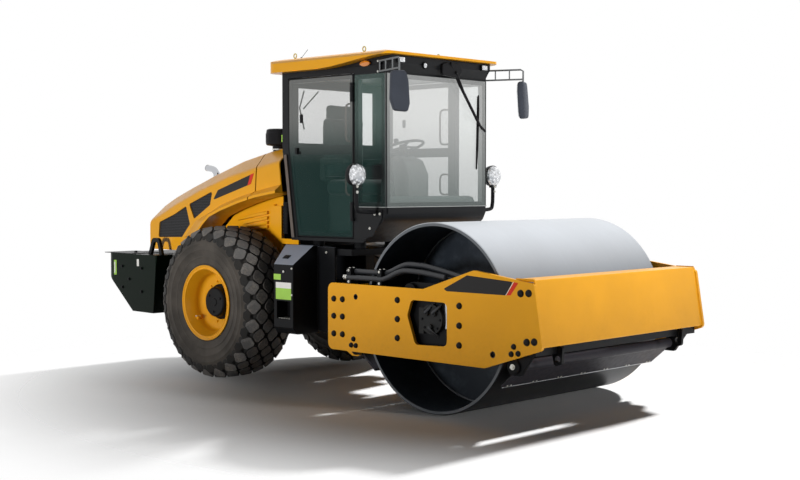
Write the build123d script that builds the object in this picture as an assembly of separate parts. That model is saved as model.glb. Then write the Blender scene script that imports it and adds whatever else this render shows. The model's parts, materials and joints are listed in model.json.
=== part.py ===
"""Single-drum road roller, 13-tonne class, in millimetres.

A rear frame on two tyres carries the engine hood and the cab. A hitch joins it to the drum frame: it steers about
a vertical pin and rolls about a lengthwise pin, and one smooth steel drum turns between the frame's side plates.
+X points forward to the drum, +Y left, +Z up, and z = 0 is the ground. The origin is the middle of the length.
"""

import os
from math import hypot

from build123d import *

# --- Driving sizes -------------------------------------------------------------------------------------------------
WHEELBASE = 2910  # drum axle to wheel axle
FRONT_OVERHANG = 1160  # drum axle to the drum frame's front corner
REAR_OVERHANG = 1880  # wheel axle to the back of the counterweight
PIVOT_BACK = 1480  # drum axle to the steering pin

DRUM_D = 1550
DRUM_W = 2130
DRUM_SHELL_T = 28
HEAD_INSET = 570  # the drum's edge to its head plate
HEAD_T = 25
HUB_BORE_R = 110
HUB_BOSS_R = 190
HUB_BOSS_L = 45

FRAME_GAP = 59  # the drum's edge to a side plate
PLATE_T = 30
BEAM_T = 16
BEAM_DEPTH = 190
CARRIER_HALF = 290
CARRIER_T = 25
ISOLATOR_R = 65

TYRE_D = 1460
TYRE_W = 587
TYRE_Y = 835  # middle of a tyre from the centre line
RIM_FLANGE_R = 360
RIM_T = 14
DISC_INSET = 205  # a rim's outer flange to its disc
HUB_INSET = 110  # a rim's outer flange to the hub's face
DISC_T = 20
WHEEL_BORE_R = 190
HUB_R = 142

CHASSIS_HALF = 430
MEMBER_T = 25
AXLE_TUBE_R = 105
SPINDLE_R = 60

STEER_PIN_R = 45
ROLL_PIN_R = 90
ROLL_Z = 720
HITCH_HALF = 165
CYLINDER_Y = 230  # a steering cylinder's rear pin from the centre line
EYE_Y = 250
EYE_AHEAD = 60

CAB_HALF = 680
CAB_TOP = 2900
CAB_FLOOR = 1341
CAB_WALL = 50
GLASS_T = 6
DOOR_T = 40
DOOR_GAP = 6
DOOR_RAIL = 45

HOOD_HALF = 720
HOOD_CROWN_HALF = 500
HOOD_WALL = 12
FLARE = 80
SEAM_GAP = 14
CREASE_R = 38
PANEL_Y = 500

DECK_Z = 1142
BUMPER_HALF = 950
BOX_Y = 1000  # outer face of the step boxes

RUN_FIT = 0.05  # radial clearance of a turning pin
SEAT = 0.3  # rest gap between pieces of different bodies

# --- Places worked out from them -----------------------------------------------------------------------------------
DRUM_X = (REAR_OVERHANG + WHEELBASE - FRONT_OVERHANG) / 2
DRUM_R = DRUM_D / 2
AXLE_X = DRUM_X - WHEELBASE
AXLE_Z = TYRE_D / 2
STEER_X = DRUM_X - PIVOT_BACK
CYLINDER_BACK = WHEELBASE - PIVOT_BACK - 730  # a steering cylinder's rear pin behind the steering pin
PLATE_IN = DRUM_W / 2 + FRAME_GAP
PLATE_OUT = PLATE_IN + PLATE_T
HEAD_Y = DRUM_W / 2 - HEAD_INSET
RIM_OUT = TYRE_Y + TYRE_W / 2 - 26
RIM_IN = TYRE_Y - TYRE_W / 2 + 26
DISC_Y = RIM_OUT - DISC_INSET
SPINDLE_Y = CHASSIS_HALF + 70
HOOD_BASE = DECK_Z + 48
HOOD_CLEAR = CAB_TOP - 500  # a height above the whole hood
CAB_BACK, CAB_BEND_Z, CAB_FOOT_X = AXLE_X + 643, 2190, AXLE_X + 770  # the cab's back edge, from the bend to the foot
ARCH_UP = TYRE_D - 1460  # the arch's tables are for 1460 mm tyres


# --- Shape helpers -------------------------------------------------------------------------------------------------
def block(x0, x1, y0, y1, z0, z1):
    return Pos((x0 + x1) / 2, (y0 + y1) / 2, (z0 + z1) / 2) * Box(x1 - x0, y1 - y0, z1 - z0)


def outline(points, radius):
    return FilletPolyline(*points, radius=radius, close=True) if radius else Polyline(*points, close=True)


def side_slab(points, y0, y1, radius=0):
    """An outline in x and z, solid from y0 to y1."""
    face = make_face(outline([(x, y0, z) for x, z in points], radius))
    return extrude(face, amount=y1 - y0, dir=(0, 1, 0))


def plan_slab(points, z0, z1, radius=0):
    """An outline in x and y, solid from z0 to z1."""
    face = make_face(outline([(x, y, z0) for x, y in points], radius))
    return extrude(face, amount=z1 - z0, dir=(0, 0, 1))


def front_slab(points, x0, x1, radius=0):
    """An outline in y and z, solid from x0 to x1."""
    face = make_face(outline([(x0, y, z) for y, z in points], radius))
    return extrude(face, amount=x1 - x0, dir=(1, 0, 0))


def rod(start, end, radius):
    run = Vector(*end) - Vector(*start)
    base = Align.CENTER, Align.CENTER, Align.MIN
    return Plane(origin=start, z_dir=run) * Cylinder(radius, run.length, align=base)


def turned(points, x, z):
    """A profile of (radius, y) points turned about a crosswise axis through x and z."""
    return Pos(x, 0, z) * revolve(make_face(Polyline(*points, close=True)), Axis.Y)


def pipe(points, radius, bend):
    path = FilletPolyline(*points, radius=bend) if len(points) > 2 else Line(*points)
    return sweep(Plane(origin=path @ 0, z_dir=path % 0) * Circle(radius), path=path)


def other_side(shape):
    return mirror(shape, about=Plane.XZ)


def joined(shapes):
    shapes = list(shapes)
    return shapes[0].fuse(*shapes[1:]) if len(shapes) > 1 else shapes[0]


parts = {}


def add(name, shape):
    parts[name] = shape


def add_pair(name, right):
    """A piece on the right (-Y) side and its mirror image on the left."""
    add(name + "_right", right)
    add(name + "_left", other_side(right))


def both(right):
    """A piece of the right side and its mirror image as one node."""
    return Compound(children=[*right.solids(), *other_side(right).solids()])


# --- Drum ----------------------------------------------------------------------------------------------------------
def drum():
    inner = DRUM_R - DRUM_SHELL_T
    half = DRUM_W / 2
    shell = turned([(DRUM_R, -half), (DRUM_R, half), (inner, half), (inner, -half)], DRUM_X, DRUM_R)
    boss_y = HEAD_Y + HUB_BOSS_L
    head = turned(
        [(HUB_BORE_R, HEAD_Y - HEAD_T), (inner, HEAD_Y - HEAD_T), (inner, HEAD_Y), (HUB_BOSS_R, HEAD_Y),
         (HUB_BOSS_R, boss_y), (HUB_BORE_R, boss_y)], DRUM_X, DRUM_R)
    return joined([shell, head, other_side(head)])


add("drum_shell", drum())


# --- Drum frame ----------------------------------------------------------------------------------------------------
PLATE_TOP, PLATE_PEAK, PLATE_LOW = DRUM_R + 243, DRUM_R + 416, DRUM_R - 329  # heights of a side plate's edges
PLATE_BACK, PLATE_KNEE, PLATE_CREST = DRUM_R + 370, -39, 494  # its lengthwise places from the drum axle
BEAM_TOP, BEAM_LOW = DRUM_R + 366, DRUM_R - 138
FRONT_TOP_X, FRONT_LOW_X = DRUM_X + FRONT_OVERHANG - 81, DRUM_X + FRONT_OVERHANG
REAR_BEAM_X0, REAR_BEAM_X1 = DRUM_X - DRUM_R - 325, DRUM_X - DRUM_R - 155
SCRAPER_X, SCRAPER_Z = DRUM_R + 75, DRUM_R - 305  # the scraper tubes' place from the drum axle, and their height
LUG_IN, LUG_T = 30, 30  # the scraper lugs' gap to the side plates, and their thickness

PLATE_OUTLINE = [
    (DRUM_X - PLATE_BACK, PLATE_TOP), (DRUM_X + PLATE_KNEE, PLATE_TOP), (DRUM_X + PLATE_CREST, PLATE_PEAK),
    (FRONT_TOP_X, PLATE_PEAK - 76), (FRONT_LOW_X, BEAM_LOW - 15), (DRUM_X + 604, PLATE_LOW - 5),
    (DRUM_X - PLATE_BACK, PLATE_LOW),
]
PLATE_WINDOW = [
    (DRUM_X - 167, DRUM_R + 148), (DRUM_X + 217, DRUM_R + 146), (DRUM_X + 218, DRUM_R - 200),
    (DRUM_X - 122, DRUM_R - 212), (DRUM_X - 211, DRUM_R + 21),
]
PLATE_HOLES = [(-807, 136, 24), (685, -222, 26)]  # x and z from the drum axle, and radius


def side_plate():
    plate = side_slab(PLATE_OUTLINE, -PLATE_OUT, -PLATE_IN, [60, 60, 60, 30, 40, 60, 60])
    for x, z, radius in PLATE_HOLES:
        plate -= rod((DRUM_X + x, -PLATE_OUT - 1, DRUM_R + z), (DRUM_X + x, -PLATE_IN + 1, DRUM_R + z), radius)
    return plate - side_slab(PLATE_WINDOW, -PLATE_OUT - 1, -PLATE_IN + 1, 45)


def front_beam():
    """A pressed channel between the side plates, open to the drum, with a folded lip along its top."""
    lean = (FRONT_LOW_X - FRONT_TOP_X) / (BEAM_TOP - BEAM_LOW)
    back = lambda z: FRONT_TOP_X + lean * (BEAM_TOP - z) - 14
    face = [
        (back(BEAM_TOP), BEAM_TOP), (back(BEAM_LOW), BEAM_LOW), (back(BEAM_LOW) - BEAM_DEPTH, BEAM_LOW),
        (back(BEAM_LOW) - BEAM_DEPTH, BEAM_LOW + BEAM_T), (back(BEAM_LOW) - BEAM_T, BEAM_LOW + BEAM_T),
        (back(BEAM_TOP) - BEAM_T, BEAM_TOP - BEAM_T), (back(BEAM_TOP) - BEAM_DEPTH, BEAM_TOP - BEAM_T),
        (back(BEAM_TOP) - BEAM_DEPTH, BEAM_TOP),
    ]
    return side_slab(face, -PLATE_IN, PLATE_IN)


def rear_beam():
    """A box beam between the side plates with the roll bearing through its middle."""
    low, top = DRUM_R - 275, DRUM_R + 210
    tube = block(REAR_BEAM_X0, REAR_BEAM_X1, -PLATE_IN, PLATE_IN, low, top)
    hollow = block(REAR_BEAM_X0 + BEAM_T, REAR_BEAM_X1 - BEAM_T, -PLATE_IN - 1, PLATE_IN + 1, low + BEAM_T,
                   top - BEAM_T)
    boss = rod((REAR_BEAM_X0 - 60, 0, ROLL_Z), (REAR_BEAM_X1, 0, ROLL_Z), ROLL_PIN_R + 60)
    bore = rod((REAR_BEAM_X0 - 70, 0, ROLL_Z), (REAR_BEAM_X1 + 10, 0, ROLL_Z), ROLL_PIN_R + RUN_FIT)
    lug = side_slab([(DRUM_X - SCRAPER_X - 60, SCRAPER_Z - 70), (DRUM_X - SCRAPER_X + 70, SCRAPER_Z - 70),
                     (REAR_BEAM_X1, low), (REAR_BEAM_X0, low)], -PLATE_IN + LUG_IN, -PLATE_IN + LUG_IN + LUG_T, 20)
    return joined([tube - hollow, boss, lug, other_side(lug)]) - bore


CARRIER_IN = PLATE_IN - 34  # the rubber mounts' inner end
ISOLATOR_AT = [(-215, 215), (215, 215), (-215, -215), (215, -215)]  # x and z from the drum axle


def drum_carrier():
    """The plate and tapered tube that carry the drum's end from the rubber mounts."""
    plate_y = CARRIER_IN - CARRIER_T
    flange_y = HEAD_Y + HUB_BOSS_L + 15
    tube = turned(
        [(0, -plate_y), (230, -plate_y), (185, -flange_y), (HUB_BORE_R - RUN_FIT, -flange_y),
         (HUB_BORE_R - RUN_FIT, -HEAD_Y + HEAD_T - 8), (0, -HEAD_Y + HEAD_T - 8)], DRUM_X, DRUM_R)
    half = CARRIER_HALF
    corners = [(DRUM_X - half, DRUM_R + half), (DRUM_X + half, DRUM_R + half), (DRUM_X + half, DRUM_R - half),
               (DRUM_X - half, DRUM_R - half)]
    return side_slab(corners, -CARRIER_IN, -plate_y, 90).fuse(tube)


def isolators():
    return Compound(children=[
        rod((DRUM_X + x, -PLATE_IN, DRUM_R + z), (DRUM_X + x, -CARRIER_IN, DRUM_R + z), ISOLATOR_R)
        for x, z in ISOLATOR_AT])


def drive_motor():
    """The hydraulic motor on the carrier, seen through the side plate's window."""
    out = PLATE_IN - 2
    body = rod((DRUM_X + 20, -out, DRUM_R), (DRUM_X + 20, -CARRIER_IN, DRUM_R), 120)
    valve = block(DRUM_X - 110, DRUM_X - 60, -out, -CARRIER_IN, DRUM_R - 120, DRUM_R + 90)
    ports = [rod((DRUM_X + x, -out - 24, DRUM_R + z), (DRUM_X + x, -CARRIER_IN, DRUM_R + z), 24)
             for x, z in ((-20, 50), (60, 50), (20, -60))]
    return joined([body, valve, *ports])


def scraper(sign):
    """A cross tube on two lugs with a sloped plate whose edge rides close to the drum."""
    x = lambda d: DRUM_X + sign * d
    end = PLATE_IN - LUG_IN - LUG_T
    tube = rod((x(SCRAPER_X), -end, SCRAPER_Z), (x(SCRAPER_X), end, SCRAPER_Z), 42)
    blade = side_slab([(x(SCRAPER_X + 35), SCRAPER_Z - 15), (x(SCRAPER_X - 160), SCRAPER_Z - 182),
                       (x(SCRAPER_X - 174), SCRAPER_Z - 170), (x(SCRAPER_X + 20), SCRAPER_Z - 2)], -end + 15, end - 15)
    return tube.fuse(blade)


add_pair("side_plate", side_plate())
add("front_beam", front_beam())
add("rear_beam", rear_beam())
add("drum_carriers", both(drum_carrier()))
add("rubber_mounts", both(isolators()))
add("drive_motors", both(drive_motor()))
add("front_scraper", scraper(1))
add("rear_scraper", scraper(-1))


def cross_member():
    """The black tie bar under the front beam, with the scraper's lugs and the tie-down eyes."""
    top = BEAM_LOW
    back = FRONT_LOW_X - 14 - BEAM_DEPTH
    bar = block(back, back + 120, -PLATE_IN, PLATE_IN, top - 70, top)
    eye = side_slab([(back + 60, top - 10), (back + 175, top - 10), (back + 165, top - 150), (back + 95, top - 170)],
                    -PLATE_IN + 260, -PLATE_IN + 290, 25)
    eye -= rod((back + 128, -PLATE_IN + 250, top - 110), (back + 128, -PLATE_IN + 300, top - 110), 25)
    lug = side_slab([(DRUM_X + SCRAPER_X - 70, SCRAPER_Z - 70), (DRUM_X + SCRAPER_X + 60, SCRAPER_Z - 70),
                     (back + 120, top), (back, top)], -PLATE_IN + LUG_IN, -PLATE_IN + LUG_IN + LUG_T, 20)
    return joined([bar, eye, other_side(eye), lug, other_side(lug)])


add("cross_member", cross_member())

HOSE_R = 18
HOSE_LANES = [  # y of a hose, its height over the plate in the clamps, and its end: x from the drum axle and height
    (-PLATE_IN - 15, 54, 190, 102), (-PLATE_IN + 29, 54, 300, 68), (-PLATE_IN + 29, 104, 330, 110),
]
HOSE_HUMP = 85
HOSE_BEND = 90
HOSE_BACK, HOSE_RISE = -940, -480  # where the hoses start and leave the plate's line, from the drum axle
CLAMPS_AT = [-890, -530]  # x from the drum axle


def hoses():
    """Hydraulic hoses clamped along the top of the right side plate."""
    runs = []
    for y, lift, end_x, end_lift in HOSE_LANES:
        z = PLATE_TOP + lift
        runs.append(pipe([(DRUM_X + HOSE_BACK, y, z), (DRUM_X + HOSE_RISE, y, z), (DRUM_X - 290, y, z + HOSE_HUMP),
                          (DRUM_X - 30, y, z + HOSE_HUMP - 8), (DRUM_X + end_x, y, PLATE_TOP + end_lift)], HOSE_R,
                         HOSE_BEND))
    return Compound(children=runs)


def hose_clamps():
    """The two clamps on top of the side plate."""
    pieces = []
    for x in CLAMPS_AT:
        pieces.append(block(DRUM_X + x - 25, DRUM_X + x + 25, -PLATE_OUT, -PLATE_IN + 52, PLATE_TOP,
                            PLATE_TOP + 132))
    clamps = Compound(children=pieces)
    for y, lift, *_ in HOSE_LANES:
        z = PLATE_TOP + lift
        clamps -= rod((DRUM_X + HOSE_BACK, y, z), (DRUM_X + HOSE_RISE, y, z), HOSE_R + SEAT)
    return clamps


add("hose_clamps", hose_clamps())
add("drum_hoses", hoses())


# --- Hitch ---------------------------------------------------------------------------------------------------------
HITCH_LOW, HITCH_TOP = ROLL_Z - 170, ROLL_Z + 170
FORK_T = 40
FORK_GAP = 6
EAR_T = 20
EYE_T = 60
EYE_R = 42


def hitch():
    """The casting between the two frames: a steering boss, the roll pin and two arms for the steering cylinders."""
    front = REAR_BEAM_X0 - 60 - 6
    body = plan_slab([(STEER_X, -HITCH_HALF + 40), (front, -HITCH_HALF), (front, HITCH_HALF),
                      (STEER_X, HITCH_HALF - 40)], HITCH_LOW, HITCH_TOP)
    boss = rod((STEER_X, 0, HITCH_LOW), (STEER_X, 0, HITCH_TOP), HITCH_HALF - 40)
    pin = rod((front - 20, 0, ROLL_Z), (REAR_BEAM_X1 + 12, 0, ROLL_Z), ROLL_PIN_R)
    cap = rod((REAR_BEAM_X1 + 6, 0, ROLL_Z), (REAR_BEAM_X1 + 40, 0, ROLL_Z), ROLL_PIN_R + 35)
    ears = []
    for side in (-1, 1):
        eye = STEER_X + EYE_AHEAD, side * EYE_Y
        for low in (ROLL_Z - EYE_T / 2 - 2 - EAR_T, ROLL_Z + EYE_T / 2 + 2):
            arm = plan_slab([(STEER_X + 10, side * 60), (eye[0] + 90, side * 60), (eye[0] + 45, eye[1]),
                             (eye[0] - 45, eye[1])], low, low + EAR_T)
            ears.append(arm.fuse(rod((*eye, low), (*eye, low + EAR_T), 45)))
    bore = rod((STEER_X, 0, HITCH_LOW - 1), (STEER_X, 0, HITCH_TOP + 1), STEER_PIN_R + RUN_FIT)
    return joined([body, boss, pin, cap, *ears]) - bore


def steer_pin():
    low, top = HITCH_LOW - FORK_GAP - FORK_T, HITCH_TOP + FORK_GAP + FORK_T
    head = rod((STEER_X, 0, top), (STEER_X, 0, top + 18), STEER_PIN_R + 25)
    return rod((STEER_X, 0, low - 10), (STEER_X, 0, top), STEER_PIN_R).fuse(head)


add("hitch_yoke", hitch())
add("steer_pin", steer_pin())

BARREL_R, ROD_R = 45, 26
CYLINDER_LEN = hypot(CYLINDER_BACK + EYE_AHEAD, EYE_Y - CYLINDER_Y)
BARREL_LEN = CYLINDER_LEN - 240
ROD_TUCK = 0.414  # the rod's inner end, as a share of the barrel's length
TAIL = (STEER_X - CYLINDER_BACK, -CYLINDER_Y, ROLL_Z)
EYE = (STEER_X + EYE_AHEAD, -EYE_Y, ROLL_Z)


def along(distance):
    """A point on the right steering cylinder's axis, measured from its rear pin."""
    share = distance / CYLINDER_LEN
    return tuple(a + (b - a) * share for a, b in zip(TAIL, EYE))


def eye_ring(centre, radius, bore, thick):
    x, y, z = centre
    ring = rod((x, y, z - thick / 2), (x, y, z + thick / 2), radius)
    return ring - rod((x, y, z - thick), (x, y, z + thick), bore) if bore else ring


def steer_barrel():
    shell = rod(along(60), along(BARREL_LEN), BARREL_R) - rod(along(66), along(BARREL_LEN + 1), ROD_R + RUN_FIT)
    return joined([shell, rod(along(20), along(63), EYE_T / 2 - 2), eye_ring(TAIL, EYE_R, 0, EYE_T)]) - rod(
        (TAIL[0], TAIL[1], ROLL_Z - 60), (TAIL[0], TAIL[1], ROLL_Z + 60), 20 + RUN_FIT)


def steer_rod():
    return rod(along(BARREL_LEN * ROD_TUCK), along(CYLINDER_LEN - 20), ROD_R).fuse(eye_ring(EYE, EYE_R, 0, EYE_T))


add_pair("steer_barrel", steer_barrel())
add_pair("steer_rod", steer_rod())


# --- Rear frame ----------------------------------------------------------------------------------------------------
CHASSIS_TOP, CHASSIS_LOW = 1110, 520
ENGINE_LOW = 930
BULKHEAD_X = AXLE_X + 640
CHASSIS_BACK = AXLE_X - 1150


def chassis():
    """Two plate side members with cross plates, and the fork that holds the steering pin."""
    side = side_slab(
        [(CHASSIS_BACK, CHASSIS_TOP), (BULKHEAD_X + 30, CHASSIS_TOP), (BULKHEAD_X + 30, CHASSIS_LOW),
         (AXLE_X + 300, CHASSIS_LOW), (AXLE_X + 180, CHASSIS_LOW + 40), (AXLE_X - 180, CHASSIS_LOW + 40),
         (AXLE_X - 300, CHASSIS_LOW), (CHASSIS_BACK, CHASSIS_LOW + 60)],
        -CHASSIS_HALF, -CHASSIS_HALF + MEMBER_T)
    side -= rod((AXLE_X, -CHASSIS_HALF - 1, AXLE_Z), (AXLE_X, -CHASSIS_HALF + MEMBER_T + 1, AXLE_Z), AXLE_TUBE_R)
    inner = CHASSIS_HALF - MEMBER_T
    bulkhead = block(BULKHEAD_X, BULKHEAD_X + 30, -inner, inner, CHASSIS_LOW, CHASSIS_TOP)
    rear = block(CHASSIS_BACK, CHASSIS_BACK + 30, -inner, inner, CHASSIS_LOW + 60, CHASSIS_TOP)
    middle = block(AXLE_X - 330, AXLE_X - 310, -inner, inner, CHASSIS_LOW + 120, ENGINE_LOW)
    tail_x = STEER_X - CYLINDER_BACK
    fork = []
    for low in (HITCH_LOW - FORK_GAP - FORK_T, HITCH_TOP + FORK_GAP):
        plate = plan_slab([(BULKHEAD_X + 30, -320), (STEER_X, -HITCH_HALF + 55), (STEER_X, HITCH_HALF - 55),
                           (BULKHEAD_X + 30, 320)], low, low + FORK_T)
        plate = plate.fuse(rod((STEER_X, 0, low), (STEER_X, 0, low + FORK_T), HITCH_HALF - 55))
        fork.append(plate - rod((STEER_X, 0, low - 1), (STEER_X, 0, low + FORK_T + 1), STEER_PIN_R))
    web = block(BULKHEAD_X + 30, BULKHEAD_X + 330, -15, 15, HITCH_LOW - FORK_GAP, HITCH_TOP + FORK_GAP)
    ears = []
    for y in (-CYLINDER_Y, CYLINDER_Y):
        for low in (ROLL_Z - EYE_T / 2 - 2 - EAR_T, ROLL_Z + EYE_T / 2 + 2):
            ears.append(block(BULKHEAD_X + 30, tail_x + 45, y - 45, y + 45, low, low + EAR_T))
        ears.append(rod((tail_x, y, ROLL_Z - EYE_T / 2 - 2), (tail_x, y, ROLL_Z + EYE_T / 2 + 2), 20))
    return joined([side, other_side(side), bulkhead, rear, middle, *fork, web, *ears])


def axle():
    """The rear axle beam with its middle casing, flanges on the chassis and a spindle at each end."""
    beam = rod((AXLE_X, -SPINDLE_Y, AXLE_Z), (AXLE_X, SPINDLE_Y, AXLE_Z), AXLE_TUBE_R - 1)
    casing = Pos(AXLE_X, 0, AXLE_Z) * Sphere(185)
    spindle = rod((AXLE_X, -DISC_Y - 60, AXLE_Z), (AXLE_X, DISC_Y + 60, AXLE_Z), SPINDLE_R)
    flange = block(AXLE_X - 150, AXLE_X + 150, -CHASSIS_HALF - 22, -CHASSIS_HALF, AXLE_Z - 150, AXLE_Z + 150)
    return joined([beam, casing, spindle, flange, other_side(flange)])


add("rear_chassis", chassis())
add("rear_axle", axle())

BUMPER_BACK = AXLE_X - REAR_OVERHANG
BUMPER_FRONT = AXLE_X - 985


def bumper():
    """The counterweight behind the wheels, with its underside cut away for the slope."""
    profile = side_slab(
        [(BUMPER_BACK, DECK_Z), (BUMPER_BACK + 20, DECK_Z - 205), (BUMPER_BACK + 480, 552),
         (BUMPER_FRONT - 60, 548), (BUMPER_FRONT, DECK_Z)], -BUMPER_HALF, BUMPER_HALF)
    plan = plan_slab(
        [(BUMPER_BACK, -BUMPER_HALF), (BUMPER_FRONT, -BUMPER_HALF), (BUMPER_FRONT, BUMPER_HALF),
         (BUMPER_BACK, BUMPER_HALF)], 500, DECK_Z + 1, [130, 20, 20, 130])
    well = block(CHASSIS_BACK, BUMPER_FRONT + 10, -CHASSIS_HALF, CHASSIS_HALF, 500, DECK_Z + 1)
    return (profile & plan) - well


def lifting_loop():
    """An inverted U of plate on the rear deck."""
    x, y = AXLE_X - 1115, -850
    loop = side_slab([(x - 125, DECK_Z), (x - 55, DECK_Z + 172), (x + 55, DECK_Z + 172), (x + 110, DECK_Z)],
                     y - 16, y + 16, [5, 50, 50, 5])
    hole = side_slab([(x - 82, DECK_Z - 1), (x - 30, DECK_Z + 130), (x + 30, DECK_Z + 130), (x + 68, DECK_Z - 1)],
                     y - 17, y + 17, [1, 25, 25, 1])
    return loop - hole


loop = lifting_loop()
add("rear_bumper", joined([bumper(), loop, other_side(loop)]))


def radiator():
    """The cooler pack, standing on the rear cross plate."""
    return block(CHASSIS_BACK, CHASSIS_BACK + 160, -380, 380, CHASSIS_TOP, 1450)


add("engine_block", block(AXLE_X - 620, AXLE_X + 330, -300, 300, ENGINE_LOW, 1640))
add("radiator", radiator())

PLATFORM_Z0, PLATFORM_Z1 = 1215, 1275


def platform():
    """The deck frame under the cab, carried on the chassis by two posts and reaching out over the step boxes."""
    deck = block(AXLE_X + 640, AXLE_X + 1560, -BOX_Y + 330, BOX_Y - 330, PLATFORM_Z0, PLATFORM_Z1)
    posts = [block(BULKHEAD_X - 60, BULKHEAD_X + 30, y - 60, y + 60, CHASSIS_TOP, PLATFORM_Z0)
             for y in (-CHASSIS_HALF + 60, CHASSIS_HALF - 60)]
    rail = block(BULKHEAD_X + 30, STEER_X - 300, -60, 60, HITCH_TOP + FORK_GAP + FORK_T, PLATFORM_Z0)
    feet = [Pos(AXLE_X + x, y, (PLATFORM_Z1 + CAB_FLOOR) / 2) * Cylinder(55, CAB_FLOOR - PLATFORM_Z1)
            for x in (930, 1480) for y in (-480, 480)]
    return joined([deck, *posts, rail, *feet])


def step_box():
    """The black locker beside the hitch, with a sloped lid, a step cut into its face and a shield ahead of it."""
    x0, x1 = AXLE_X + 882, AXLE_X + 1143
    body = front_slab(
        [(-BOX_Y, 1133), (-BOX_Y, 560), (-BOX_Y + 60, 500), (-BOX_Y + 330, 500), (-BOX_Y + 330, 1300),
         (-BOX_Y + 250, 1300)], x0 - 114, x1)
    corner = plan_slab([(x0 - 120, -BOX_Y - 10), (x0, -BOX_Y - 10), (x0, -BOX_Y), (x0 - 120, -BOX_Y + 260)], 490, 1310)
    shield = block(x1 - 5, x1 + 228, -BOX_Y + 300, -BOX_Y + 330, 520, 1290)
    tread = block(x0 + 40, x1 - 40, -BOX_Y - 1, -BOX_Y + 130, 640, 800)
    return (body - corner).fuse(shield) - tread


add("cab_platform", platform())
add("step_boxes", both(step_box()))


PANEL_RIBS = [(1590, 450), (1538, 365), (1493, 305), (1451, 220)]  # height of a rib's front end, and its length


def side_panel():
    """The pressed panel beside the engine, with slanted ribs and a flange at its front edge."""
    x0, x1, z0, z1 = AXLE_X - 560, AXLE_X + 298, CHASSIS_TOP, 1745
    sheet = side_slab([(x0, z0), (x1 + 150, z0), (x1 + 150, z1), (x1 - 430, z1 - 60), (x0 + 130, z0 + 330)],
                      -PANEL_Y, -PANEL_Y + HOOD_WALL)
    flange = block(x1, x1 + 150, -PANEL_Y - 25, -PANEL_Y, z0 + 60, z1 - 90)
    ribs = [side_slab([(x1 - 60, z - 12), (x1 - 60, z + 12), (x1 - 60 - run, z + 12 - run * 0.165),
                       (x1 - 60 - run, z - 12 - run * 0.165)], -PANEL_Y - 14, -PANEL_Y, 8) for z, run in PANEL_RIBS]
    step = block(x1, x1 + 395, -PANEL_Y - 25, -PANEL_Y, z0 + 180, z0 + 230)
    foot = block(CHASSIS_BACK + 600, x1 + 100, -PANEL_Y + HOOD_WALL, -CHASSIS_HALF + MEMBER_T, z0, z0 + 14)
    return joined([sheet, flange, *ribs, step, foot])


add("side_panels", both(side_panel()))

# --- Hood: sections from the cab back to the tail -----------------------------------------------------------------
HOOD_SECTIONS = [  # x from the wheel axle, height of the side crease, height of the crown
    (690, 2082, 2235), (289, 2011, 2184), (-127, 1925, 2096), (-602, 1783, 1951), (-984, 1647, 1823),
    (-1241, 1537, 1730), (-1405, 1478, 1656),
]
HOOD_BACK = AXLE_X + HOOD_SECTIONS[-1][0]
ARCH_LIP = [(801, 1798), (382, 1737), (126, 1680), (-137, 1606), (-317, 1541), (-428, 1459), (-540, 1354)]
ARCH_BELT = [(710, 1878), (296, 1802), (29, 1740), (-236, 1666), (-382, 1602), (-660, 1500), (-872, 1314)]
SEAM = [(270, HOOD_BASE - 50), (275, 1739), (298, 1806), (310, 2000), (165, 2210), (150, HOOD_CLEAR)]


def eased(ring, first):
    """A section with three chords in place of every corner from the first one on."""
    made = ring[:first]
    for before, here, after in zip(ring[first - 1:], ring[first:], ring[first + 1:] + ring[:1]):
        start, mid, end = Vector(*before), Vector(*here), Vector(*after)
        a, b = mid + (start - mid).normalized() * CREASE_R, mid + (end - mid).normalized() * CREASE_R
        for t in (0, 1 / 3, 2 / 3, 1):
            p = (a * (1 - t) + mid * t) * (1 - t) + (mid * (1 - t) + b * t) * t
            made.append((p.X, p.Y))
    return made


def hood_blank(inset):
    """The hood's outer volume, every face set in by the same amount."""
    stations = []
    for d, crease, crown in HOOD_SECTIONS:
        x = AXLE_X + d + (inset if d == HOOD_SECTIONS[-1][0] else 0)
        side, top = HOOD_HALF - inset, HOOD_CROWN_HALF - inset / 2
        low = HOOD_BASE - (1 if inset else 0)
        ring = [(-side, low), (side, low), (side, crease - inset / 2), (top, crown - inset),
                (-top, crown - inset), (-side, crease - inset / 2)]
        stations.append(make_face(Polyline(*[(x, y, z) for y, z in eased(ring, 2)], close=True)))
    return joined([loft([a, b], ruled=True) for a, b in zip(stations, stations[1:])])


def arch_line(table):
    return [(AXLE_X + x, z + ARCH_UP) for x, z in table]


def arch_cut():
    """What the wheel arch takes out of the hood's sides, from one lip to the other."""
    lip = arch_line(ARCH_LIP)
    rear = (AXLE_X - 824, HOOD_BASE - 10)
    front = (AXLE_X + 900, HOOD_BASE - 10)
    return side_slab([*lip, rear, front, (AXLE_X + 900, lip[0][1])], -HOOD_HALF - 100, HOOD_HALF + 100)


def flare():
    """The lip that turns out along the top of the wheel arch."""
    root, lip = arch_line(ARCH_BELT), arch_line(ARCH_LIP)
    wide = root + lip[::-1]
    thin = [(x - 10, z + 22) for x, z in lip] + lip[::-1]
    inside = make_face(Polyline(*[(x, -HOOD_HALF + HOOD_WALL, z) for x, z in wide], close=True))
    outside = make_face(Polyline(*[(x, -HOOD_HALF - FLARE, z) for x, z in thin], close=True))
    return loft([inside, outside], ruled=True)


def liner():
    """The arch's ceiling, from the flare in to the side panel."""
    lip = arch_line(ARCH_LIP)
    lid = [(x - 8, z + 12) for x, z in lip]
    return side_slab(lid + lip[::-1], -HOOD_HALF, -PANEL_Y - 40)


def seam_side(front):
    line = [(AXLE_X + x + (SEAM_GAP / 2 if front else -SEAM_GAP / 2), z) for x, z in SEAM]
    far = AXLE_X + (900 if front else -1700)
    return side_slab([*line, (far, SEAM[-1][1]), (far, SEAM[0][1])], -HOOD_HALF - 200, HOOD_HALF + 200)


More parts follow.
